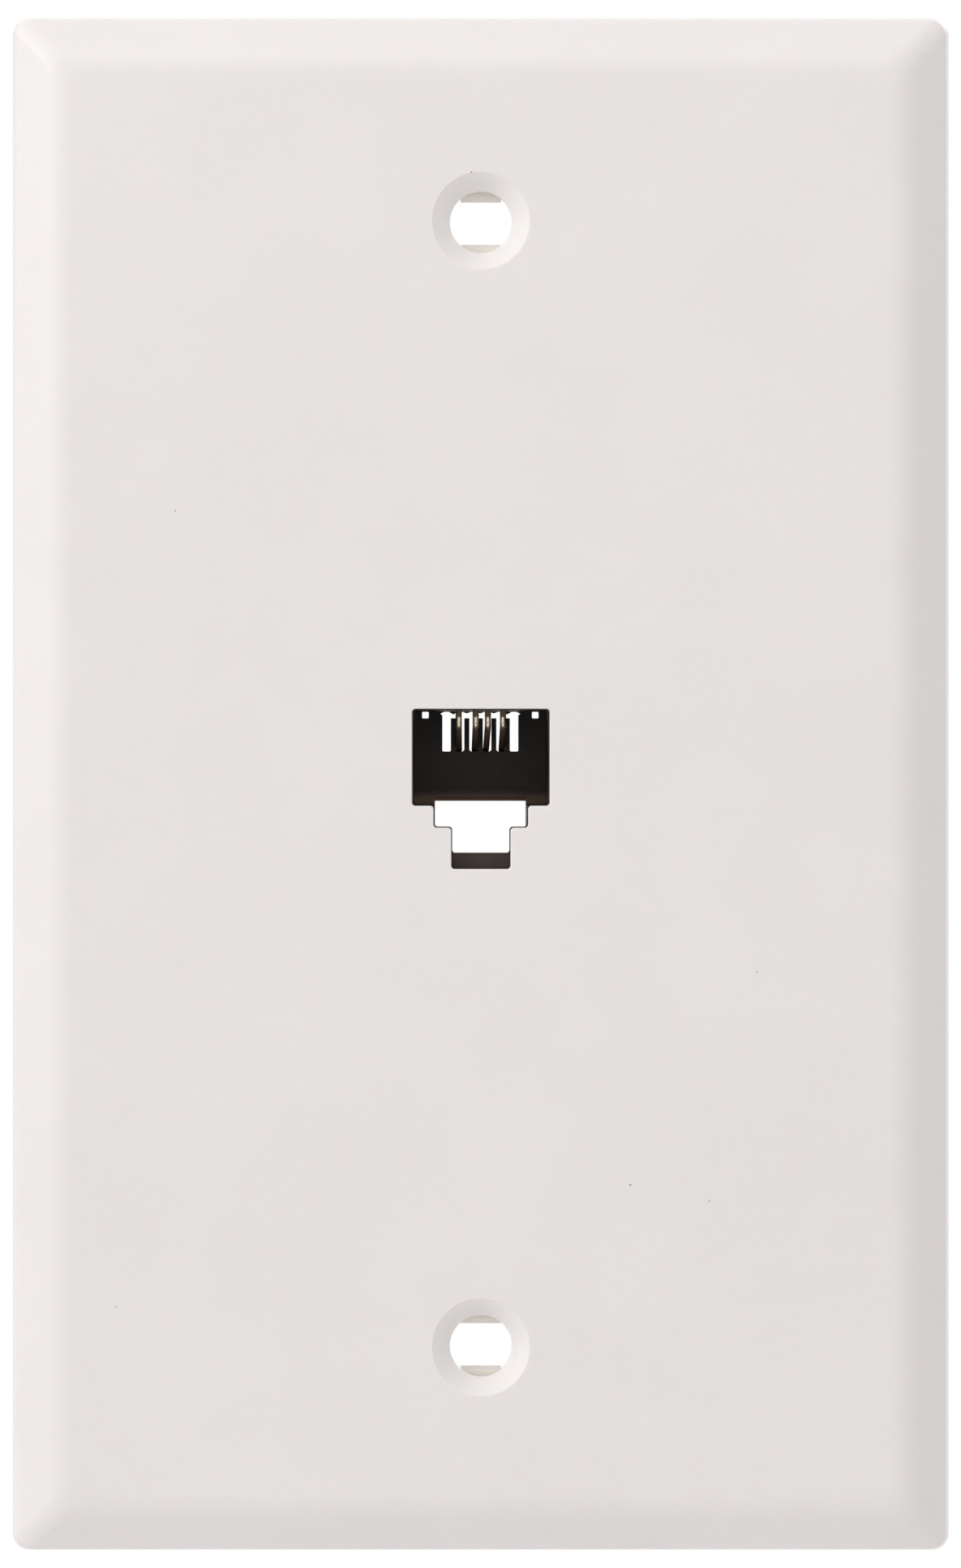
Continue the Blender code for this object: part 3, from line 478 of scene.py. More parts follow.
class Finish(Graph):
    """A material's node tree round its Principled shader."""

    def __init__(self, name):
        self.material = bpy.data.materials.new(name)
        self.material.use_nodes = True
        super().__init__(self.material.node_tree)
        self.shader = self.tree.nodes["Principled BSDF"]
        self.place = self.node("ShaderNodeTexCoord", out="Object")

    def set(self, **sockets):
        """Feeds the shader's sockets, written with _ for the blanks in their names."""
        for name, value in sockets.items():
            self.feed(self.shader, name.replace("_", " "), value)

    def noise(self, size, detail=2.0, roughness=0.5, stretch=(1, 1, 1)):
        """Noise with features of about the given size in metres."""
        place = self.node("ShaderNodeMapping", None, Vector=self.place, Scale=stretch)
        return self.node("ShaderNodeTexNoise", None, Vector=place, Scale=1 / size, Detail=detail,
                         Roughness=roughness)

    def height(self):
        return self.part(self.place, "Z")

    def depth(self):
        """How far a place lies behind the plate's front face."""
        return self.part(self.place, "Y") + PLATE_DEPTH

    def distance(self, place, centre):
        """How far a place is from a fixed point."""
        return self.node("ShaderNodeVectorMath", {"operation": "DISTANCE"}, place, centre, out="Value")

    def blend(self, share, first, second):
        """A colour between two, by a share."""
        mixed = self.tree.nodes.new("ShaderNodeMix")
        mixed.data_type = "RGBA"
        self.feed(mixed, 0, share)
        self.feed(mixed, 6, first)
        self.feed(mixed, 7, second)
        return Socket(self, mixed.outputs[2])

    def bump(self, height, distance):
        self.set(Normal=self.node("ShaderNodeBump", None, Height=height, Distance=distance))


# The ABS is a warm white with a fine satin grain, slightly translucent where it is thin. The countersinks
# are painted lighter than the face, as painted light in them, and the nibs in them are painted a light tan,
# as a painted glow of light through them from behind. A few dark specks in the moulding are given by place
# and radius.
ABS_WHITE = (0.79, 0.756, 0.748, 1)
ABS_SHADE = (0.765, 0.733, 0.722, 1)
COUNTERSINK_PAINTED_LIGHT = (0.83, 0.80, 0.783, 1)
NIB_PAINTED_GLOW = (0.90, 0.865, 0.80, 1)
SPECK_COLOUR = (0.30, 0.27, 0.25, 1)
SPECKS = ((-22.6, 20.2, 0.055), (11.05, -29.65, 0.075), (16.9, -30.85, 0.05), (20.4, -13.9, 0.05),
          (-27.0, -38.7, 0.05), (-0.7, 45.25, 0.06))


def white_abs():
    finish = Finish("white_abs")
    mottle = finish.spread(finish.noise(9 * MM, 3.0), 0.35, 0.65)
    grain = finish.noise(0.12 * MM, 2.0, 0.6)
    flat = finish.node("ShaderNodeVectorMath", {"operation": "MULTIPLY"}, finish.place, (1, 0, 1))
    folded = finish.node("ShaderNodeVectorMath", {"operation": "ABSOLUTE"}, flat)
    from_axis = finish.distance(folded, (0.0, 0.0, MOUNT_Z))
    from_middle = finish.maths("ABSOLUTE", finish.part(folded, "Z") - MOUNT_Z)
    chamfer = NIB_GAP / 2 + NIB_CHAMFER
    # Painted light: everything within the countersink's rim, bore included, is painted lighter than the
    # face.
    painted_countersink_light = finish.fade(from_axis, COUNTERSINK_RADIUS - COUNTERSINK_LIP, COUNTERSINK_RADIUS)
    # Painted glow: the nibs' fronts are painted a light tan, standing in for light shining through them
    # from behind.
    painted_nib_glow = (finish.fade(from_axis, BORE_RELIEF_RADIUS, BORE_RELIEF_RADIUS + NIB_RADIUS)
            * finish.spread(finish.depth(), BORE_DEPTH, NIB_FRONT)
            * finish.spread(from_middle, chamfer - NIB_RADIUS, chamfer))
    specks = 0.0
    for x, z, radius in SPECKS:
        away = finish.distance(flat, (x * MM, 0.0, z * MM))
        specks = specks + finish.fade(away, 0.5 * radius * MM, 1.5 * radius * MM)
    colour = finish.blend(mottle * 0.5, ABS_WHITE, ABS_SHADE)
    colour = finish.blend(painted_countersink_light, colour, COUNTERSINK_PAINTED_LIGHT)
    colour = finish.blend(painted_nib_glow, colour, NIB_PAINTED_GLOW)
    finish.set(Base_Color=finish.blend(specks, colour, SPECK_COLOUR))
    finish.set(Roughness=0.36 + 0.08 * grain, Subsurface_Weight=0.35, Subsurface_Scale=0.6 * MM,
               Subsurface_Radius=(1.0, 0.62, 0.4), IOR=1.5)
    finish.bump(grain, 0.004 * MM)
    return finish.material


def fit(piece, node, material=None):
    """Puts a finished piece in the place of the node that it stands for, and dresses it if it isn't yet."""
    if material:
        piece.data.materials.clear()
        piece.data.materials.append(material)
    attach(piece, "root")
    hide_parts(node)


fit(plate, "wall_plate", white_abs())


# The jack body is one moulding in black nylon, pressed into the bay from behind until the arms hook it.
# It holds the plug cavity, the latch channel, the six-slot comb that spaces the wires, and the tray and
# pockets on its roof.

JACK_FRONT = BAY_SKIN + SEAT_GAP
JACK_BACK = jack_high.y + PLATE_DEPTH
JACK_FRONT_WALL = 1 * MM
REAR_WALL_FRONT = 13.2 * MM
REAR_WALL_BACK = 14.2 * MM
CAVITY_DRAFT = 0.1 * MM
JACK_CORNER_RADIUS = 0.6 * MM
SHOULDER_STEP = 0.9 * MM
TAIL_INSET = 0.1 * MM
LEDGE_TOP = -5.19 * MM
MOUTH_INSET = 0.07 * MM
CHANNEL_ROOF = PLUG_FLOOR + 0.33 * MM
CHANNEL_LIP = 0.4 * MM
COMB_SLOTS = 6
COMB_PITCH = 1.02 * MM
COMB_SLOT_HALF = 0.32 * MM
COMB_FLOOR_ROUNDING = 0.1 * MM
WIRED_FLOOR_ROUNDING = 0.19 * MM
COMB_TOP = PLUG_TOP - CAVITY_DRAFT
TOOTH_TOP = 4.97 * MM
COMB_SLOT_FLOOR = 2.46 * MM
TOOTH_EDGE = 0.05 * MM
ROOF_DIPS = (0.2 * MM, 0.12 * MM, 0.12 * MM, 0.12 * MM, 0.2 * MM)
WING_REACH = 0.15 * MM
WING_HEIGHT = 0.27 * MM
CORNER_HOLE_X = 4.15 * MM
CORNER_HOLE_SIDE = 0.5 * MM
CORNER_HOLE_ROUNDING = 0.08 * MM
CORNER_HOLE_STEPS = 4
TRAY_Z = 7.06 * MM
TRAY_HALF = 4.8 * MM
TRAY_FRONT = JACK_FRONT + 3.4 * MM
POCKET_FRONT = 10.45 * MM
POCKET_HALF = 0.95 * MM
POCKET_ROUNDING = 0.3 * MM
CUT_ROUNDING = 0.05 * MM
WIRE_Z = 7.41 * MM
FOLD_WINDOW = 1.4 * MM
ROOF_GROOVE_HEIGHT = 0.55 * MM
KNEE_DEPTH = JACK_FRONT + 4.3 * MM
GROOVE_END = 0.35 * MM
SLEEVE_PITCH = 2.4 * MM
WIRED_SLOTS = (2, 3, 4, 5)


def slot_x(slot, pitch):
    """The middle of a comb slot, counted from 1 at the left, or of its sleeve pocket."""
    return (slot - (COMB_SLOTS + 1) / 2) * pitch


def bar(name, x_range, depths, z_range, radius=CUT_ROUNDING):
    return carried(name, rectangle(x_range, z_range, radius, SMALL_ARC_STEPS), *depths, lead=0.0)


def channel_lip():
    """Rounds the edge where the rear wall ends over the latch channel."""
    half = LATCH_STEP_HALF - MOUTH_INSET
    arc = round_corner(Vector((REAR_WALL_FRONT, CHANNEL_ROOF)), Vector((REAR_WALL_FRONT, PLUG_TOP)),
                       Vector((JACK_BACK, CHANNEL_ROOF)), CHANNEL_LIP, ARC_STEPS)
    low = CHANNEL_ROOF - FUSE
    section = [*arc, Vector((arc[-1].x, low)), Vector((REAR_WALL_FRONT - FUSE, low)),
               Vector((REAR_WALL_FRONT - FUSE, arc[0].y))]
    return solid("channel_lip", [[at(x, depth, z) for depth, z in section] for x in (-half, half)])


def roof_gap():
    """The gap over the teeth: it dips over each tooth and runs out in a point at each end."""
    half = slot_x(COMB_SLOTS, COMB_PITCH) + COMB_SLOT_HALF
    low = COMB_TOP - WING_HEIGHT
    tip = COMB_TOP - WING_HEIGHT / 2
    corners = [(-half, TOOTH_TOP), (-half, low), (-half - WING_REACH, tip)]
    for slot in range(1, COMB_SLOTS + 1):
        x = slot_x(slot, COMB_PITCH)
        corners += [(x - COMB_SLOT_HALF / 2, COMB_TOP), (x + COMB_SLOT_HALF / 2, COMB_TOP)]
        if slot < COMB_SLOTS:
            corners.append((x + COMB_PITCH / 2, COMB_TOP - ROOF_DIPS[slot - 1]))
    corners += [(half + WING_REACH, tip), (half, low), (half, TOOTH_TOP)]
    return [[at(x, depth, z) for x, z in corners] for depth in
            (REAR_WALL_FRONT - FUSE, REAR_WALL_BACK + FUSE)]


def jack_cutters():
    fold_start = JACK_FRONT + JACK_FRONT_WALL
    cavity = [[at(x, depth, z) for x, z in rectangle((-PLUG_HALF, PLUG_HALF), (PLUG_FLOOR, PLUG_TOP),
                                                     OPENING_RADIUS)(grow)]
              for depth, grow in ((fold_start, 0.0), (REAR_WALL_FRONT, -CAVITY_DRAFT))]
    through = (REAR_WALL_FRONT, REAR_WALL_BACK + FUSE)
    above = jack_high.z + OVERCUT
    channel_half = LATCH_STEP_HALF - MOUTH_INSET
    mouth = stepped_opening(LEDGE_TOP)
    tools = [
        solid("mouth", [[at(x, depth, z) for x, z in mouth(-MOUTH_INSET)]
                        for depth in (JACK_FRONT - FUSE, fold_start + OVERCUT)]),
        solid("cavity", cavity),
        bar("channel", (-channel_half, channel_half), (fold_start, JACK_BACK + OVERCUT),
            (LEDGE_TOP, CHANNEL_ROOF)),
        channel_lip(),
        bar("recess", (CAVITY_DRAFT - PLUG_HALF, PLUG_HALF - CAVITY_DRAFT),
            (REAR_WALL_BACK, JACK_BACK + OVERCUT), (PLUG_FLOOR, COMB_TOP)),
        bar("tray", (-TRAY_HALF, TRAY_HALF), (TRAY_FRONT, POCKET_FRONT + FUSE), (TRAY_Z, above)),
        solid("roof_gap", roof_gap()),
    ]
    for slot in range(1, COMB_SLOTS + 1):
        x = slot_x(slot, COMB_PITCH)
        rounding = WIRED_FLOOR_ROUNDING if slot in WIRED_SLOTS else COMB_FLOOR_ROUNDING
        outline = rectangle((x - COMB_SLOT_HALF, x + COMB_SLOT_HALF),
                            (COMB_SLOT_FLOOR, TOOTH_TOP + FUSE / 2), rounding)
        tools.append(carried("slot", outline, *through, TOOTH_EDGE))
    for side in (-1, 1):
        x = side * CORNER_HOLE_X
        outline = rectangle((x - CORNER_HOLE_SIDE / 2, x + CORNER_HOLE_SIDE / 2),
                            (COMB_TOP - CORNER_HOLE_SIDE, COMB_TOP), CORNER_HOLE_ROUNDING,
                            CORNER_HOLE_STEPS)
        tools.append(carried("corner_hole", outline, *through))
    for slot in WIRED_SLOTS:
        x = slot_x(slot, COMB_PITCH)
        groove = (x - COMB_SLOT_HALF, x + COMB_SLOT_HALF)
        tools.append(bar("groove", groove, (fold_start, TRAY_FRONT + FUSE), (TRAY_Z, above)))
        tools.append(bar("under_groove", groove, (fold_start, KNEE_DEPTH + GROOVE_END),
                         (PLUG_TOP - FUSE, PLUG_TOP + ROOF_GROOVE_HEIGHT)))
        tools.append(bar("window", groove, (fold_start, fold_start + FOLD_WINDOW),
                         (PLUG_TOP - FUSE, above)))
        x = slot_x(slot, SLEEVE_PITCH)
        tools.append(bar("pocket", (x - POCKET_HALF, x + POCKET_HALF), (POCKET_FRONT, JACK_BACK + OVERCUT),
                         (WIRE_Z - POCKET_HALF, above), POCKET_ROUNDING))
    return tools


def jack_blocks():
    half = jack_high.x
    front = rectangle((-half, half), (jack_low.z, jack_high.z), JACK_CORNER_RADIUS)
    tail_half = half - SHOULDER_STEP
    tail = rectangle((-tail_half, tail_half), (jack_low.z + TAIL_INSET, jack_high.z - TAIL_INSET),
                     JACK_CORNER_RADIUS)
    body = carried("black_jack_body", front, JACK_FRONT, SHOULDER, edge=EDGE_RADIUS / 2, lead=0.0)
    return body, carried("tail", tail, SHOULDER, JACK_BACK, edge=EDGE_RADIUS / 2)


# The nylon is black. Light is painted brown on a band inside its mouth, where its front edges catch the
# lamps, and a painted glow of light from behind runs along the low edge of its rear wall.
NYLON_BLACK = (0.028, 0.0168, 0.0135, 1)
NYLON_CLOUD = (0.036, 0.022, 0.0178, 1)
NYLON_MOUTH_PAINTED_LIGHT = (0.22, 0.16, 0.135, 1)
NYLON_LIP_PAINTED_GLOW = (0.30, 0.195, 0.14, 1)
LIP_GLOW_HEIGHT = 0.9 * MM
LIP_GLOW_DEPTH = 1 * MM


def black_nylon():
    finish = Finish("black_nylon")
    cloud = finish.spread(finish.noise(1.6 * MM, 3.0), 0.3, 0.7)
    grain = finish.noise(0.06 * MM, 2.0, 0.6)
    depth = finish.depth()
    # Painted light: a band just inside the mouth is painted brown, where the front edges catch the lamps.
    mouth = (finish.spread(depth, JACK_FRONT, JACK_FRONT + EDGE_RADIUS)
             * finish.fade(depth, JACK_FRONT + JACK_FRONT_WALL, JACK_FRONT + 2 * JACK_FRONT_WALL))
    # Painted glow: the low edge of the rear wall over the latch channel is painted brown, for light coming
    # through from behind.
    lip = (finish.fade(finish.height(), CHANNEL_ROOF, CHANNEL_ROOF + LIP_GLOW_HEIGHT)
           * finish.spread(depth, REAR_WALL_FRONT - LIP_GLOW_DEPTH, REAR_WALL_FRONT))
    colour = finish.blend(cloud, NYLON_BLACK, NYLON_CLOUD)
    colour = finish.blend(mouth, colour, NYLON_MOUTH_PAINTED_LIGHT)
    finish.set(Base_Color=finish.blend(lip, colour, NYLON_LIP_PAINTED_GLOW))
    finish.set(Roughness=0.42 + 0.16 * grain, IOR=1.53, Specular_IOR_Level=0.32)
    finish.bump(grain, 0.002 * MM)
    return finish.material


jack, jack_tail = jack_blocks()
combine(jack, "UNION", [jack_tail])
combine(jack, "DIFFERENCE", jack_cutters())
shade(jack)
nylon = black_nylon()
fit(jack, "jack_body", nylon)


# The contact wires are sprung phosphor-bronze wire plated with gold, bent to shape before they are laid in
# the tray. Each runs from its crimp sleeve over the roof, folds down through its window at the front, runs
# back under the roof to its knee, and slopes down between two teeth of the comb to its tip behind them.

WIRE_RADIUS = 0.235 * MM
FOLD_DEPTH = JACK_FRONT + 1.65 * MM
ROOF_RUN_Z = PLUG_TOP + 0.25 * MM
KNEE_Z = PLUG_TOP - 1.25 * MM
TIP_DROP = 0.12 * MM
TIP_INSET = 0.1 * MM
SLEEVE_FRONT = 10.6 * MM
SLEEVE_LENGTH = 3.5 * MM
SLEEVE_JOINT_GAP = 0.5 * MM
RETAINER_FRONT = 6.7 * MM
KNEE_OFFSETS = {2: -0.11 * MM, 3: 0.14 * MM, 4: 0.03 * MM, 5: 0.14 * MM}
TIP_OFFSETS = {2: -0.08 * MM, 3: 0.08 * MM, 4: -0.08 * MM, 5: 0.08 * MM}
BEND_RADII = (0.3 * MM, 0.3 * MM, 0.6 * MM, 0.6 * MM, 1.35 * MM, 0.3 * MM)
BEND_STEPS = 8
WIRE_SIDES = 20
SWEPT_SHARP_ANGLE = math.radians(40)


def geometry_tree(name, sockets):
    """A geometry tree that is still empty, and its named inputs."""
    tree = bpy.data.node_groups.new(name, "GeometryNodeTree")
    tree.interface.new_socket("Geometry", in_out="OUTPUT", socket_type="NodeSocketGeometry")
    tree.interface.new_socket("Geometry", in_out="INPUT", socket_type="NodeSocketGeometry")
    for label, kind in sockets.items():
        tree.interface.new_socket(label, in_out="INPUT", socket_type=kind)
    graph = Graph(tree)
    entry = tree.nodes.new("NodeGroupInput")
    inputs = {socket.name: Socket(graph, socket) for socket in entry.outputs if socket.name}
    return graph, inputs


def close_tree(graph, geometry, *finishes):
    """Ends a tree in plain geometry with its materials, each given with the faces that it goes on."""
    result = graph.node("GeometryNodeRealizeInstances", None, geometry)
    for material, selection in finishes:
        result = graph.node("GeometryNodeSetMaterial", None, result, selection, material)
    leave = graph.tree.nodes.new("NodeGroupOutput")
    graph.feed(leave, 0, result)
    return graph.tree


def grown(name, source, tree, values):
    """The plain mesh that a geometry tree makes from a source object, which is used up."""
    modifier = source.modifiers.new(name, "NODES")
    modifier.node_group = tree
    for item in tree.interface.items_tree:
        if item.in_out == "INPUT" and item.name in values:
            modifier[item.identifier] = values[item.name]
    graph = bpy.context.evaluated_depsgraph_get()
    mesh = bpy.data.meshes.new_from_object(source.evaluated_get(graph))
    mesh.name = name
    bpy.data.objects.remove(source, do_unlink=True)
    builder = bmesh.new()
    builder.from_mesh(mesh)
    bmesh.ops.recalc_face_normals(builder, faces=builder.faces)
    builder.to_mesh(mesh)
    builder.free()
    mesh.shade_smooth()
    mesh.set_sharp_from_angle(angle=SWEPT_SHARP_ANGLE)
    piece = bpy.data.objects.new(name, mesh)
    bpy.context.scene.collection.objects.link(piece)
    return piece


def path_curve(points):
    """A curve object through points, for a tree to sweep along."""
    curve = bpy.data.curves.new("path", "CURVE")
    curve.dimensions = "3D"
    spline = curve.splines.new("POLY")
    spline.points.add(len(points) - 1)
    for spline_point, point in zip(spline.points, points):
        spline_point.co = (*point, 1.0)
    source = bpy.data.objects.new("path", curve)
    bpy.context.scene.collection.objects.link(source)
    return source


def wire_tree():
    """Sweeps a round wire along a path, with closed ends."""
    graph, given = geometry_tree("round_wire", {"Radius": "NodeSocketFloat", "Sides": "NodeSocketInt",
                                                "Finish": "NodeSocketMaterial"})
    section = graph.node("GeometryNodeCurvePrimitiveCircle", None, Resolution=given["Sides"],
                         Radius=given["Radius"])
    swept = graph.node("GeometryNodeCurveToMesh", None, given["Geometry"], section, **{"Fill Caps": True})
    return close_tree(graph, swept, (given["Finish"], True))


def wire_path(slot):
    """A wire's bends, from its crimp sleeve to its tip, which leans to one side of its comb slot."""
    x = slot_x(slot, COMB_PITCH) + KNEE_OFFSETS[slot]
    tip_x = slot_x(slot, COMB_PITCH) + TIP_OFFSETS[slot]
    sleeve = slot_x(slot, SLEEVE_PITCH)
    joint = SLEEVE_FRONT + (SLEEVE_LENGTH - SLEEVE_JOINT_GAP) / 2
    tip_z = COMB_SLOT_FLOOR - TIP_DROP + WIRE_RADIUS
    corners = [at(sleeve, joint, WIRE_Z), at(sleeve, POCKET_FRONT, WIRE_Z), at(x, RETAINER_FRONT, WIRE_Z),
               at(x, FOLD_DEPTH, WIRE_Z), at(x, FOLD_DEPTH, ROOF_RUN_Z), at(x, KNEE_DEPTH, ROOF_RUN_Z),
               at(x, KNEE_DEPTH, KNEE_Z), at(tip_x, JACK_BACK - TIP_INSET, tip_z)]
    return rounded_path(corners, BEND_RADII, BEND_STEPS)


# The gold is clean on the knee. Shade is painted brown on the bend above it, under the roof, and on the
# slope below it, and painted black behind the comb; where shade is painted, the wire is not metal.
GOLD_CLEAN = (0.98, 0.88, 0.70, 1)
GOLD_WORN = (0.86, 0.75, 0.57, 1)
WIRE_PAINTED_SHADE = (0.21, 0.135, 0.1, 1)
WIRE_PAINTED_DEEP_SHADE = (0.02, 0.014, 0.011, 1)
PAINTED_SHADE_EDGE = 0.15 * MM
KNEE_GOLD_TOP = TOOTH_TOP - 0.05 * MM
ROOF_GOLD_FLOOR = TRAY_Z - 0.5 * MM


def gold_plate():
    finish = Finish("gold_plate")
    streak = finish.noise(0.25 * MM, 3.0, 0.6, (1.0, 0.1, 1.0))
    worn = finish.spread(streak, 0.45, 0.75)
    height = finish.height()
    # Painted shade: the slope below the knee and the bend above it, under the roof, are painted brown and
    # made non-metal.
    slope = finish.fade(height, KNEE_Z - PAINTED_SHADE_EDGE, KNEE_Z)
    bend = (finish.spread(height, KNEE_GOLD_TOP, KNEE_GOLD_TOP + PAINTED_SHADE_EDGE)
            * finish.fade(height, ROOF_GOLD_FLOOR, TRAY_Z))
    painted_shade = slope + bend
    # Painted shade: the slope behind the comb, where light from behind reaches the tips, is painted black.
    black = slope * finish.spread(finish.depth(), REAR_WALL_FRONT, REAR_WALL_BACK)
    colour = finish.blend(worn, GOLD_CLEAN, GOLD_WORN)
    colour = finish.blend(painted_shade, colour, WIRE_PAINTED_SHADE)
    finish.set(Base_Color=finish.blend(black, colour, WIRE_PAINTED_DEEP_SHADE), Metallic=1 - painted_shade)
    finish.set(Roughness=0.3 + 0.15 * worn, Specular_IOR_Level=0.0)
    return finish.material


swept_wire = wire_tree()
gold = gold_plate()
for slot in WIRED_SLOTS:
    contact = grown(f"gold_contact_{slot}", path_curve(wire_path(slot)), swept_wire,
                    {"Radius": WIRE_RADIUS, "Sides": WIRE_SIDES, "Finish": gold})
    fit(contact, f"contact_wire_{slot}")


# The retainer is a black nylon bar, pressed into the roof tray over the wires to hold them down. An ear
# at each side rests on the roof.

RETAINER_BACK = 9.7 * MM
RETAINER_EAR = 0.9 * MM
RETAINER_EAR_THICKNESS = 0.8 * MM
WIRE_GAP = 0.15 * MM
RETAINER_ROUNDING = 0.1 * MM
RETAINER_EDGE = 0.08 * MM


def retainer_outline(grow):
    inner = TRAY_HALF - SEAT_GAP + grow
    ear = TRAY_HALF + RETAINER_EAR + grow
    seat = jack_high.z + SEAT_GAP
    right = [(inner, WIRE_Z + WIRE_RADIUS + WIRE_GAP - grow), (inner, seat - grow), (ear, seat - grow),
             (ear, seat + RETAINER_EAR_THICKNESS + grow)]
    left = [(-x, z) for x, z in reversed(right)]
    return rounded_outline(right + left, RETAINER_ROUNDING, SMALL_ARC_STEPS)


def end_to_end(name, outline, start, end, edge):
    """An outline carried between two depths, with the edges of both ends rounded."""
    front = [(start + edge * (1 - math.cos(a)), edge * (math.sin(a) - 1)) for a in QUARTER]
    back = [(end - edge * (1 - math.sin(a)), edge * (math.cos(a) - 1)) for a in QUARTER]
    return solid(name, [[at(x, depth, z) for x, z in outline(grow)] for depth, grow in front + back])


retainer = end_to_end("wire_retainer", retainer_outline, RETAINER_FRONT, RETAINER_BACK,
                      RETAINER_EDGE)
shade(retainer)
fit(retainer, "contact_retainer", nylon)


# Each crimp sleeve is a short tinned brass tube, pressed twice to grip the contact wire from one end and
# the lead from the other.

SLEEVE_RADIUS = 0.8 * MM
SLEEVE_BORE = 0.45 * MM
SLEEVE_BACK = SLEEVE_FRONT + SLEEVE_LENGTH
SLEEVE_EDGE = 0.08 * MM
SLEEVE_STEP = 0.12 * MM
SLEEVE_SQUEEZE = 0.26
CRIMP_HALF_LENGTH = 0.42 * MM
TURNED_SIDES = 48
NO_THREAD = (1.0, 0.0, 0.0, 0.0)


def turned_tree():
    """Turns a profile's points, of radius and length, about the Y axis, with a thread if one is asked."""
    graph, given = geometry_tree("turned_part", {
        "Sides": "NodeSocketInt", "Pitch": "NodeSocketFloat", "Thread Depth": "NodeSocketFloat",
        "Thread Start": "NodeSocketFloat", "Thread End": "NodeSocketFloat", "Finish": "NodeSocketMaterial"})
    rows = graph.node("GeometryNodeAttributeDomainSize", None, given["Geometry"])
    sheet = graph.node("GeometryNodeMeshGrid", None,
                       **{"Vertices X": given["Sides"] + 1, "Vertices Y": rows})
    index = graph.node("GeometryNodeInputIndex")
    column = graph.maths("FLOOR", (index + 0.5) / rows)
    point = graph.node("GeometryNodeSampleIndex", {"data_type": "FLOAT_VECTOR"}, given["Geometry"],
                       Value=graph.node("GeometryNodeInputPosition"), Index=index - column * rows)
    along = graph.part(point, "Y")
    turn = column / given["Sides"]
    ridge = graph.maths("ABSOLUTE", graph.maths("FRACT", along / given["Pitch"] + turn) * 2 - 1)
    run_out = given["Pitch"] * 0.8
    thread = (graph.fade(ridge, 0.15, 0.85)
              * graph.spread(along, given["Thread Start"], given["Thread Start"] + run_out)
              * graph.fade(along, given["Thread End"] - run_out, given["Thread End"]))
    reach = graph.part(point, "X") - thread * given["Thread Depth"]
    angle = turn * math.tau
    place = graph.node("ShaderNodeCombineXYZ", None, reach * graph.maths("COSINE", angle), along,
                       reach * graph.maths("SINE", angle))
    rolled = graph.node("GeometryNodeSetPosition", None, sheet, Position=place)
    closed = graph.node("GeometryNodeMergeByDistance", None, rolled, Distance=MM / 2000)
    return close_tree(graph, closed, (given["Finish"], True))


def subdivided(points, longest):
    """A profile with points added, so that no step is longer than asked."""
    finer = [points[0]]
    for start, end in zip(points, points[1:]):
        steps = math.ceil((end - start).length / longest)
        finer += [start.lerp(end, step / steps) for step in range(1, steps + 1)]
    return finer


def turned_piece(name, profile, finish, sides=TURNED_SIDES, thread=NO_THREAD):
    """A part turned from points of radius and length. A thread is its pitch, depth, start and end."""
    mesh = bpy.data.meshes.new("profile")
    mesh.from_pydata([(radius, length, 0.0) for radius, length in profile], [], [])
    source = bpy.data.objects.new("profile", mesh)
    bpy.context.scene.collection.objects.link(source)
    pitch, depth, start, end = thread
    return grown(name, source, lathe, {"Sides": sides, "Pitch": pitch, "Thread Depth": depth,
                                       "Thread Start": start, "Thread End": end, "Finish": finish})


def ring_profile(bore, radius, start, end, edge):
    """The closed section of a ring or tube, with its edges rounded."""
    corners = [(bore, start), (radius, start), (radius, end), (bore, end)]
    outline = rounded_outline(corners, edge, SMALL_ARC_STEPS)
    return outline + outline[:1]


def crimp(piece, places, squeeze):
    """Presses a tube flatter at places along the Y axis."""
    for vertex in piece.data.vertices:
        press = sum(math.exp(-((vertex.co.y - place) / CRIMP_HALF_LENGTH) ** 4) for place in places)
        vertex.co.z *= 1 - squeeze * press


TIN_BRIGHT = (0.66, 0.65, 0.62, 1)
TIN_DULL = (0.47, 0.45, 0.41, 1)


def tinned_brass():
    finish = Finish("tinned_brass")
    cloud = finish.spread(finish.noise(0.9 * MM, 4.0, 0.6), 0.35, 0.7)
    brushed = finish.noise(0.05 * MM, 3.0, 0.6, (1.0, 1.0, 0.12))
    finish.set(Base_Color=finish.blend(cloud, TIN_BRIGHT, TIN_DULL))
    finish.set(Metallic=1.0, Roughness=0.26 + 0.16 * cloud + 0.08 * brushed)
    finish.bump(brushed, 0.002 * MM)
    return finish.material


lathe = turned_tree()
tinned = tinned_brass()
for slot in WIRED_SLOTS:
    profile = ring_profile(SLEEVE_BORE, SLEEVE_RADIUS, -SLEEVE_LENGTH / 2, SLEEVE_LENGTH / 2, SLEEVE_EDGE)
    sleeve = turned_piece(f"crimped_sleeve_{slot}", subdivided(profile, SLEEVE_STEP), tinned)
    crimp(sleeve, (-SLEEVE_LENGTH / 4, SLEEVE_LENGTH / 4), SLEEVE_SQUEEZE)
    middle = at(slot_x(slot, SLEEVE_PITCH), (SLEEVE_FRONT + SLEEVE_BACK) / 2, WIRE_Z)
    sleeve.data.transform(Matrix.Translation(middle))
    fit(sleeve, f"crimp_sleeve_{slot}")


# Four terminals: on each post a brass binding screw holds a fork lug between two flat brass washers. The
# screw has a domed head with a straight slot, and a thread that cuts into the post.

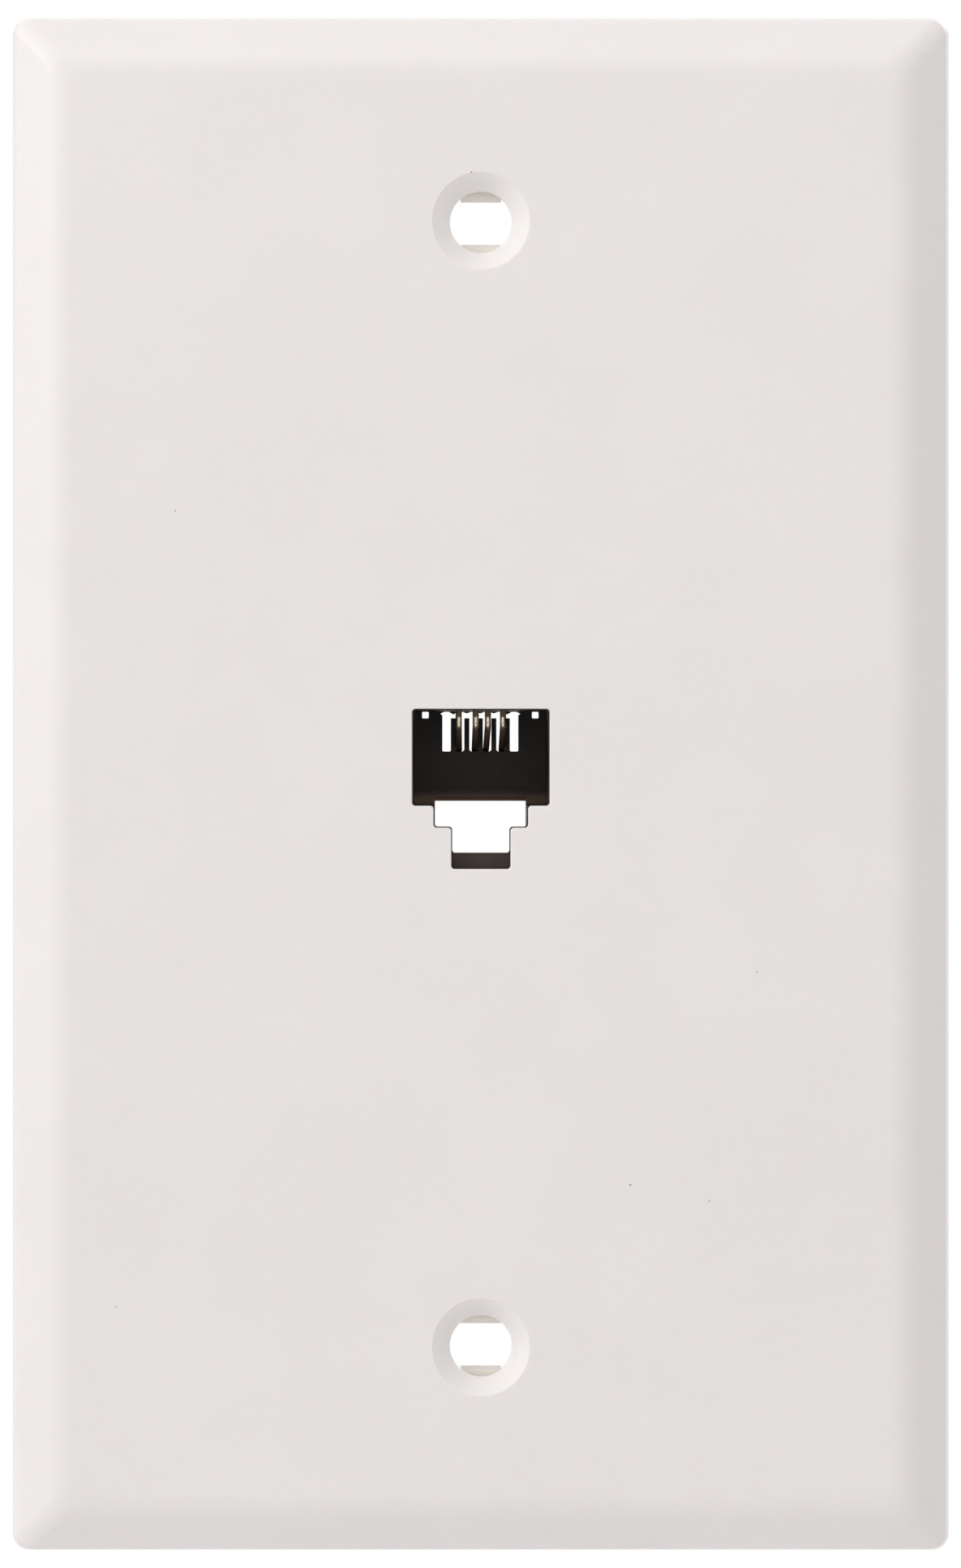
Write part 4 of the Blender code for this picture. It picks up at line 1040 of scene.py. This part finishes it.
STACK_GAP = 0.2 * MM
LOWER_WASHER = POST_TOP + STACK_GAP
WASHER_THICKNESS = 0.7 * MM
LUG_DEPTH = LOWER_WASHER + WASHER_THICKNESS + STACK_GAP
LUG_THICKNESS = 0.7 * MM
UPPER_WASHER = LUG_DEPTH + LUG_THICKNESS + STACK_GAP
HEAD_SEAT = UPPER_WASHER + WASHER_THICKNESS + STACK_GAP
WASHER_BORE = 1.7 * MM
WASHER_RADIUS = 4.2 * MM
WASHER_EDGE = 0.12 * MM
WASHER_SIDES = 72
SCREW_RADIUS = 1.35 * MM
SCREW_LENGTH = 7.3 * MM
SCREW_TIP_RADIUS = 0.95 * MM
SCREW_TIP_LENGTH = 0.6 * MM
THREAD_PITCH = 0.8 * MM
THREAD_DEPTH = 0.28 * MM
HEAD_RADIUS = 3.2 * MM
HEAD_HEIGHT = 1.9 * MM
HEAD_EDGE = 0.7 * MM
HEAD_FILLET = 0.2 * MM
SCREW_NECK = 0.1 * MM
DOME_STEPS = 14
SCREW_SIDES = 56
DRIVER_SLOT_HALF = 0.45 * MM
DRIVER_SLOT_DEPTH = 0.9 * MM
DRIVER_SLOT_ROUNDING = 0.03 * MM
Circuit = namedtuple("Circuit", "slot colour side row lug_tilt driver_turn")
CIRCUITS = (
    Circuit(2, "black", -1, -1, math.radians(14), math.radians(24)),
    Circuit(3, "red", -1, 1, math.radians(28), math.radians(-37)),
    Circuit(4, "green", 1, 1, math.radians(28), math.radians(62)),
    Circuit(5, "yellow", 1, -1, math.radians(14), math.radians(8)),
)


def post_place(circuit):
    return Matrix.Translation((circuit.side * TERMINAL_X, 0.0, circuit.row * TERMINAL_Z))


def screw_profile():
    seat = HEAD_SEAT - PLATE_DEPTH
    tip = seat - SCREW_LENGTH
    shank = [Vector((SCREW_TIP_RADIUS, tip)), Vector((SCREW_RADIUS, tip + SCREW_TIP_LENGTH)),
             Vector((SCREW_RADIUS, seat - SCREW_NECK))]
    head = rounded_path([(SCREW_RADIUS, seat), (HEAD_RADIUS, seat), (HEAD_RADIUS, seat + HEAD_EDGE)],
                        (HEAD_FILLET,))
    dome = [Vector((HEAD_RADIUS * math.cos(a), seat + HEAD_EDGE + (HEAD_HEIGHT - HEAD_EDGE) * math.sin(a)))
            for a in angles(math.pi / 2, DOME_STEPS)[1:]]
    return [Vector((0.0, tip)), *subdivided(shank, THREAD_PITCH / 10), *head, *dome]


def binding_screw(name, driver_turn):
    thread = (THREAD_PITCH, THREAD_DEPTH, HEAD_SEAT - SCREW_LENGTH - PLATE_DEPTH,
              HEAD_SEAT - PLATE_DEPTH - THREAD_PITCH / 2)
    screw = turned_piece(name, screw_profile(), brass, SCREW_SIDES, thread)
    top = HEAD_SEAT + HEAD_HEIGHT
    reach = HEAD_RADIUS + OVERCUT
    slot = bar("driver_slot", (-reach, reach), (top - DRIVER_SLOT_DEPTH, top + OVERCUT),
               (-DRIVER_SLOT_HALF, DRIVER_SLOT_HALF), DRIVER_SLOT_ROUNDING)
    slot.data.transform(Matrix.Rotation(driver_turn, 4, "Y"))
    combine(screw, "DIFFERENCE", [slot])
    shade(screw)
    return screw


BRASS_BRIGHT = (0.80, 0.59, 0.27, 1)
BRASS_TARNISHED = (0.50, 0.33, 0.15, 1)


def yellow_brass():
    finish = Finish("brass")
    tarnish = finish.spread(finish.noise(1.3 * MM, 4.0, 0.6), 0.42, 0.72)
    scratch = finish.noise(0.04 * MM, 3.0, 0.7, (1.0, 1.0, 0.2))
    finish.set(Base_Color=finish.blend(tarnish, BRASS_BRIGHT, BRASS_TARNISHED))
    finish.set(Metallic=1.0, Roughness=0.24 + 0.2 * tarnish + 0.06 * scratch)
    finish.bump(scratch, 0.0015 * MM)
    return finish.material


brass = yellow_brass()
for circuit in CIRCUITS:
    screw = binding_screw(f"binding_screw_{circuit.colour}", circuit.driver_turn)
    screw.data.transform(post_place(circuit))
    fit(screw, f"terminal_screw_{circuit.colour}", brass)
    for level, depth in (("lower", LOWER_WASHER), ("upper", UPPER_WASHER)):
        start = depth - PLATE_DEPTH
        profile = ring_profile(WASHER_BORE, WASHER_RADIUS, start, start + WASHER_THICKNESS, WASHER_EDGE)
        washer = turned_piece(f"flat_washer_{level}_{circuit.colour}", profile, brass, WASHER_SIDES)
        washer.data.transform(post_place(circuit))
        fit(washer, f"washer_{level}_{circuit.colour}")


# Each fork lug is stamped from tinned brass strip. Its fork goes round the screw, and its other end is
# rolled into a barrel, which is pressed on the bare end of the lead.

LUG_HALF = 3.3 * MM
LUG_SLOT_HALF = 1.7 * MM
LUG_TONGUE = 3.4 * MM
LUG_TIP_CHAMFER = 0.85 * MM
LUG_NECK_HALF = 1.1 * MM
LUG_EDGE = 0.1 * MM
BARREL_OFFSET = 4.9 * MM
BARREL_LENGTH = 4 * MM
BARREL_RADIUS = 1 * MM
BARREL_BORE = 0.45 * MM
BARREL_FLOOR = 0.8 * MM
BARREL_EDGES = (0.1 * MM, 0.1 * MM, 0.05 * MM, 0.05 * MM)
BARREL_STEP = 0.15 * MM
BARREL_CRIMP = 0.58 * BARREL_LENGTH
BARREL_SQUEEZE = 0.24
SEAM_HALF = 0.05 * MM
SEAM_FLOOR = 0.64 * BARREL_RADIUS
SEAM_INSET = 0.35 * MM
SEAM_ROUNDING = 0.02 * MM
NECK_LENGTH = 1.4 * MM
NECK_OVERLAP = 0.3 * MM
NECK_STEPS = 8
NECK_END_RADIUS = 0.99 * BARREL_RADIUS
LUG_CURVE_STEPS = 16
LUG_THROAT_STEPS = 24
LUG_SHARP_ANGLE = math.radians(50)
LUG_MIDDLE = LUG_DEPTH + LUG_THICKNESS / 2


def fork_outline():
    neck_angle = math.asin(LUG_NECK_HALF / LUG_HALF)
    right = [(LUG_SLOT_HALF, -LUG_TONGUE), (LUG_HALF - LUG_TIP_CHAMFER, -LUG_TONGUE),
             (LUG_HALF, -LUG_TONGUE + LUG_TIP_CHAMFER)]
    right += [(LUG_HALF * math.cos(a), LUG_HALF * math.sin(a))
              for a in angles(math.pi / 2 - neck_angle, LUG_CURVE_STEPS)]
    right.append((LUG_NECK_HALF, BARREL_OFFSET))
    inner = [(-LUG_SLOT_HALF * math.cos(a), LUG_SLOT_HALF * math.sin(a))
             for a in angles(math.pi, LUG_THROAT_STEPS)]
    return right + [(-x, z) for x, z in reversed(right)] + inner


def neck():
    """The strip between fork and barrel, which bends from flat to round."""
    rings = []
    for step in range(NECK_STEPS + 1):
        share = step / NECK_STEPS
        height = BARREL_OFFSET - NECK_LENGTH + share * (NECK_LENGTH + NECK_OVERLAP)
        curl = share * share * (3 - 2 * share)
        ring = []
        for a in angles(math.tau, TURNED_SIDES)[:-1]:
            flat = 1 / max(abs(math.cos(a)) / (LUG_NECK_HALF + LUG_EDGE),
                           abs(math.sin(a)) / (LUG_THICKNESS / 2 + LUG_EDGE / 2))
            reach = flat + (NECK_END_RADIUS - flat) * curl
            ring.append(at(reach * math.cos(a), LUG_MIDDLE + reach * math.sin(a), height))
        rings.append(ring)
    return solid("neck", rings)


def barrel():
    corners = [(0, 0), (BARREL_RADIUS, 0), (BARREL_RADIUS, BARREL_LENGTH), (BARREL_BORE, BARREL_LENGTH),
               (BARREL_BORE, BARREL_FLOOR), (0, BARREL_FLOOR)]
    profile = rounded_path(corners, BARREL_EDGES, SMALL_ARC_STEPS)
    tube = turned_piece("barrel", subdivided(profile, BARREL_STEP), tinned)
    crimp(tube, (BARREL_CRIMP,), BARREL_SQUEEZE)
    tube.data.transform(Matrix.Translation(at(0.0, LUG_MIDDLE, BARREL_OFFSET))
                        @ Matrix.Rotation(math.pi / 2, 4, "X"))
    return tube


def fork_lug(name):
    lug = solid(name, [[at(x, depth, z) for x, z in fork_outline()]
                       for depth in (LUG_DEPTH, LUG_DEPTH + LUG_THICKNESS)])
    edges = lug.modifiers.new("edges", "BEVEL")
    edges.width = LUG_EDGE
    edges.segments = 2
    edges.limit_method = "ANGLE"
    edges.angle_limit = LUG_SHARP_ANGLE
    apply_modifiers(lug)
    combine(lug, "UNION", [neck(), barrel()])
    seam = bar("seam", (-SEAM_HALF, SEAM_HALF),
               (LUG_MIDDLE + SEAM_FLOOR, LUG_MIDDLE + 2 * BARREL_RADIUS),
               (BARREL_OFFSET + SEAM_INSET, BARREL_OFFSET + BARREL_LENGTH + OVERCUT), SEAM_ROUNDING)
    combine(lug, "DIFFERENCE", [seam])
    shade(lug)
    return lug


def lug_place(circuit):
    """The lug's place on its post: its barrel points up, tilted towards the jack."""
    return post_place(circuit) @ Matrix.Rotation(-circuit.side * circuit.lug_tilt, 4, "Y")


for circuit in CIRCUITS:
    lug = fork_lug(f"fork_lug_{circuit.colour}")
    lug.data.transform(lug_place(circuit))
    fit(lug, f"spade_lug_{circuit.colour}", tinned)


# The four inner leads are seven strands of tinned copper in coloured vinyl. Each is stripped at both ends,
# in its crimp sleeve and in the barrel of its lug.

LEAD_RADIUS = 0.61 * MM
STRAND_RADIUS = 0.1 * MM
STRAND_LAY = 5 * MM
LEAD_STRAIGHT = 1.8 * MM
CORE_IN_BARREL = 3 * MM
STRANDS_ROUND_CORE = 6
STRAND_SIDES = 8
COVER_SIDES = 24
ROUTE_STEPS = 8
UPPER_ROUTE = ((0.0026, 0.0188, 0.0108), (0.0058, 0.0186, 0.0158), (0.0090, 0.0150, 0.0192))
LOWER_ROUTE = ((0.0056, 0.0184, 0.0062), (0.0092, 0.0177, 0.0040), (0.0122, 0.0142, 0.0024))
VINYL = {"black": ((0.014, 0.014, 0.015, 1), (0.024, 0.023, 0.023, 1)),
         "red": ((0.47, 0.018, 0.014, 1), (0.56, 0.035, 0.025, 1)),
         "green": ((0.018, 0.20, 0.05, 1), (0.03, 0.27, 0.075, 1)),
         "yellow": ((0.76, 0.49, 0.028, 1), (0.83, 0.58, 0.06, 1))}


def lead_tree():
    """Sweeps a lead along a path: its cover over the middle, and seven twisted strands all the way."""
    graph, given = geometry_tree("insulated_lead", {
        "Cover Radius": "NodeSocketFloat", "Strand Radius": "NodeSocketFloat", "Lay": "NodeSocketFloat",
        "Bare Start": "NodeSocketFloat", "Bare End": "NodeSocketFloat", "Cover": "NodeSocketMaterial",
        "Strand": "NodeSocketMaterial"})
    length = graph.node("GeometryNodeCurveLength", None, given["Geometry"])
    covered = graph.node("GeometryNodeTrimCurve", {"mode": "FACTOR"}, given["Geometry"],
                         Start=given["Bare Start"] / length, End=1 - given["Bare End"] / length)
    outside = graph.node("GeometryNodeCurvePrimitiveCircle", None, Resolution=COVER_SIDES,
                         Radius=given["Cover Radius"])
    cover = graph.node("GeometryNodeCurveToMesh", None, covered, outside, **{"Fill Caps": True})
    strand = graph.node("GeometryNodeCurvePrimitiveCircle", None, Resolution=STRAND_SIDES,
                        Radius=given["Strand Radius"])
    around = graph.node("GeometryNodeMeshCircle", None, Vertices=STRANDS_ROUND_CORE,
                        Radius=given["Strand Radius"] * 2)
    outer = graph.node("GeometryNodeInstanceOnPoints", None, around, Instance=strand)
    bundle = graph.node("GeometryNodeRealizeInstances", None, graph.joined(strand, outer))
    along = graph.node("GeometryNodeSplineParameter", out="Length")
    twisted = graph.node("GeometryNodeSetCurveTilt", None, given["Geometry"],
                         Tilt=along * math.tau / given["Lay"])
    core = graph.node("GeometryNodeCurveToMesh", None, twisted, bundle, **{"Fill Caps": True})
    marked = graph.node("GeometryNodeStoreNamedAttribute", {"data_type": "BOOLEAN", "domain": "FACE"}, core,
                        Name="strand", Value=True)
    is_strand = graph.node("GeometryNodeInputNamedAttribute", {"data_type": "BOOLEAN"}, "strand")
    return close_tree(graph, graph.joined(cover, marked), (given["Cover"], True),
                      (given["Strand"], is_strand))


def smooth_route(points, steps):
    """A smooth curve through a route's points."""
    padded = [points[0] * 2 - points[1], *points, points[-1] * 2 - points[-2]]
    route = []
    for a, b, c, d in zip(padded, padded[1:], padded[2:], padded[3:]):
        for step in range(steps):
            t = step / steps
            route.append(b + (c - a) * (t / 2) + (a * 2 - b * 5 + c * 4 - d) * (t * t / 2)
                         + (b * 3 - a - c * 3 + d) * (t ** 3 / 2))
    return route + [points[-1]]


def lead_path(circuit):
    """A lead's route from its sleeve to its lug's barrel, and the length that is bare at its start."""
    x = slot_x(circuit.slot, SLEEVE_PITCH)
    place = lug_place(circuit)
    mouth = BARREL_OFFSET + BARREL_LENGTH
    start = SLEEVE_BACK + SEAT_GAP
    joint = SLEEVE_FRONT + (SLEEVE_LENGTH + SLEEVE_JOINT_GAP) / 2
    route = [at(x, start, WIRE_Z), at(x, start + LEAD_STRAIGHT, WIRE_Z)]
    bends = UPPER_ROUTE if circuit.row > 0 else LOWER_ROUTE
    route += [at(circuit.side * away, depth, z) for away, depth, z in bends]
    route += [place @ at(0.0, LUG_MIDDLE, mouth + SEAT_GAP + along) for along in (LEAD_STRAIGHT, 0.0)]
    end = place @ at(0.0, LUG_MIDDLE, mouth - CORE_IN_BARREL)
    return [at(x, joint, WIRE_Z), *smooth_route(route, ROUTE_STEPS), end], start - joint


def vinyl(colour):
    finish = Finish(f"vinyl_{colour}")
    mottle = finish.spread(finish.noise(1.1 * MM, 3.0), 0.3, 0.7)
    skin = finish.noise(0.3 * MM, 2.0)
    finish.set(Base_Color=finish.blend(mottle, *VINYL[colour]), Roughness=0.38 + 0.14 * mottle, IOR=1.52)
    finish.bump(skin, 0.006 * MM)
    return finish.material


covered_lead = lead_tree()
for circuit in CIRCUITS:
    path, bare_start = lead_path(circuit)
    lead = grown(f"insulated_lead_{circuit.colour}", path_curve(path), covered_lead,
                 {"Cover Radius": LEAD_RADIUS, "Strand Radius": STRAND_RADIUS, "Lay": STRAND_LAY,
                  "Bare Start": bare_start, "Bare End": CORE_IN_BARREL + SEAT_GAP,
                  "Cover": vinyl(circuit.colour), "Strand": tinned})
    fit(lead, f"lead_{circuit.colour}")


# The stage: a pale floor well below the plate, a white surround, one large soft lamp at the upper left, a
# small one above and a weak one behind. The camera stands almost square to the plate, as for the photo.

CAMERA_DISTANCE = 600 * MM
CAMERA_X = -2 * MM
FRAME_HEIGHT = 115.97 * MM
SENSOR = 36.0
IMAGE_WIDTH = 1183
IMAGE_HEIGHT = 1931
PLATE_CENTRE_X = 592
AMBIENT = 0.737
SKY_FALL = 0.11
LAMPS = (
    ("key_lamp", (-0.83, -0.559, 0.394), 0.6, 3.74),
    ("top_lamp", (-0.03, -0.2, 0.25), 0.2, 0.115),
    ("back_lamp", (0.5, 0.7, 0.5), 0.5, 2.0),
)
FLOOR_DROP = 190 * MM
FLOOR_RADIUS = 600 * MM
FLOOR_THICKNESS = 5 * MM
FLOOR_SIDES = 96
FLOOR_GREY = (0.86, 0.86, 0.86, 1)


def add_camera():
    data = bpy.data.cameras.new("camera")
    data.sensor_width = SENSOR
    data.lens = SENSOR * CAMERA_DISTANCE / FRAME_HEIGHT
    pixel = FRAME_HEIGHT / IMAGE_HEIGHT
    data.shift_x = ((IMAGE_WIDTH / 2 - PLATE_CENTRE_X) * pixel - CAMERA_X) / FRAME_HEIGHT
    data.clip_start = 10 * MM
    camera = bpy.data.objects.new("camera", data)
    camera.location = (CAMERA_X, -PLATE_DEPTH - CAMERA_DISTANCE, 0.0)
    camera.rotation_euler = (math.pi / 2, 0.0, 0.0)
    bpy.context.scene.collection.objects.link(camera)
    bpy.context.scene.camera = camera


def add_lamp(name, place, size, watts):
    data = bpy.data.lights.new(name, "AREA")
    data.shape = "DISK"
    data.size = size
    data.energy = watts
    lamp = bpy.data.objects.new(name, data)
    lamp.location = place
    lamp.rotation_euler = (-Vector(place)).to_track_quat("-Z", "Y").to_euler()
    lamp.visible_camera = False
    bpy.context.scene.collection.objects.link(lamp)


def white_surround():
    """White wherever it is seen. As light it is dimmer, and dims more from top to bottom."""
    world = bpy.data.worlds.new("surround")
    world.use_nodes = True
    graph = Graph(world.node_tree)
    background = world.node_tree.nodes["Background"]
    rays = [graph.node("ShaderNodeLightPath", None, out=ray)
            for ray in ("Is Camera Ray", "Is Glossy Ray", "Is Transmission Ray")]
    seen = graph.maths("MINIMUM", rays[0] + rays[1] + rays[2], 1.0)
    direction = graph.node("ShaderNodeTexCoord", out="Generated")
    ambient = AMBIENT + SKY_FALL * graph.part(direction, "Z")
    graph.feed(background, "Strength", ambient + (1 - ambient) * seen)
    background.inputs["Color"].default_value = (1, 1, 1, 1)
    bpy.context.scene.world = world


def add_floor():
    """A round floor that fades out towards its edge."""
    top = plate_low.z - FLOOR_DROP
    floor = solid("floor", [[Vector((x, y, z)) for x, y in circle(0, 0, FLOOR_RADIUS, FLOOR_SIDES)(0)]
                            for z in (top, top - FLOOR_THICKNESS)])
    finish = Finish("floor")
    away = finish.node("ShaderNodeVectorMath", {"operation": "LENGTH"}, finish.place, out="Value")
    finish.set(Base_Color=FLOOR_GREY, Roughness=0.9,
               Alpha=finish.fade(away, FLOOR_RADIUS / 2, FLOOR_RADIUS))
    floor.data.materials.append(finish.material)


add_camera()
for lamp in LAMPS:
    add_lamp(*lamp)
white_surround()
add_floor()
bpy.context.scene.view_settings.view_transform = "Standard"
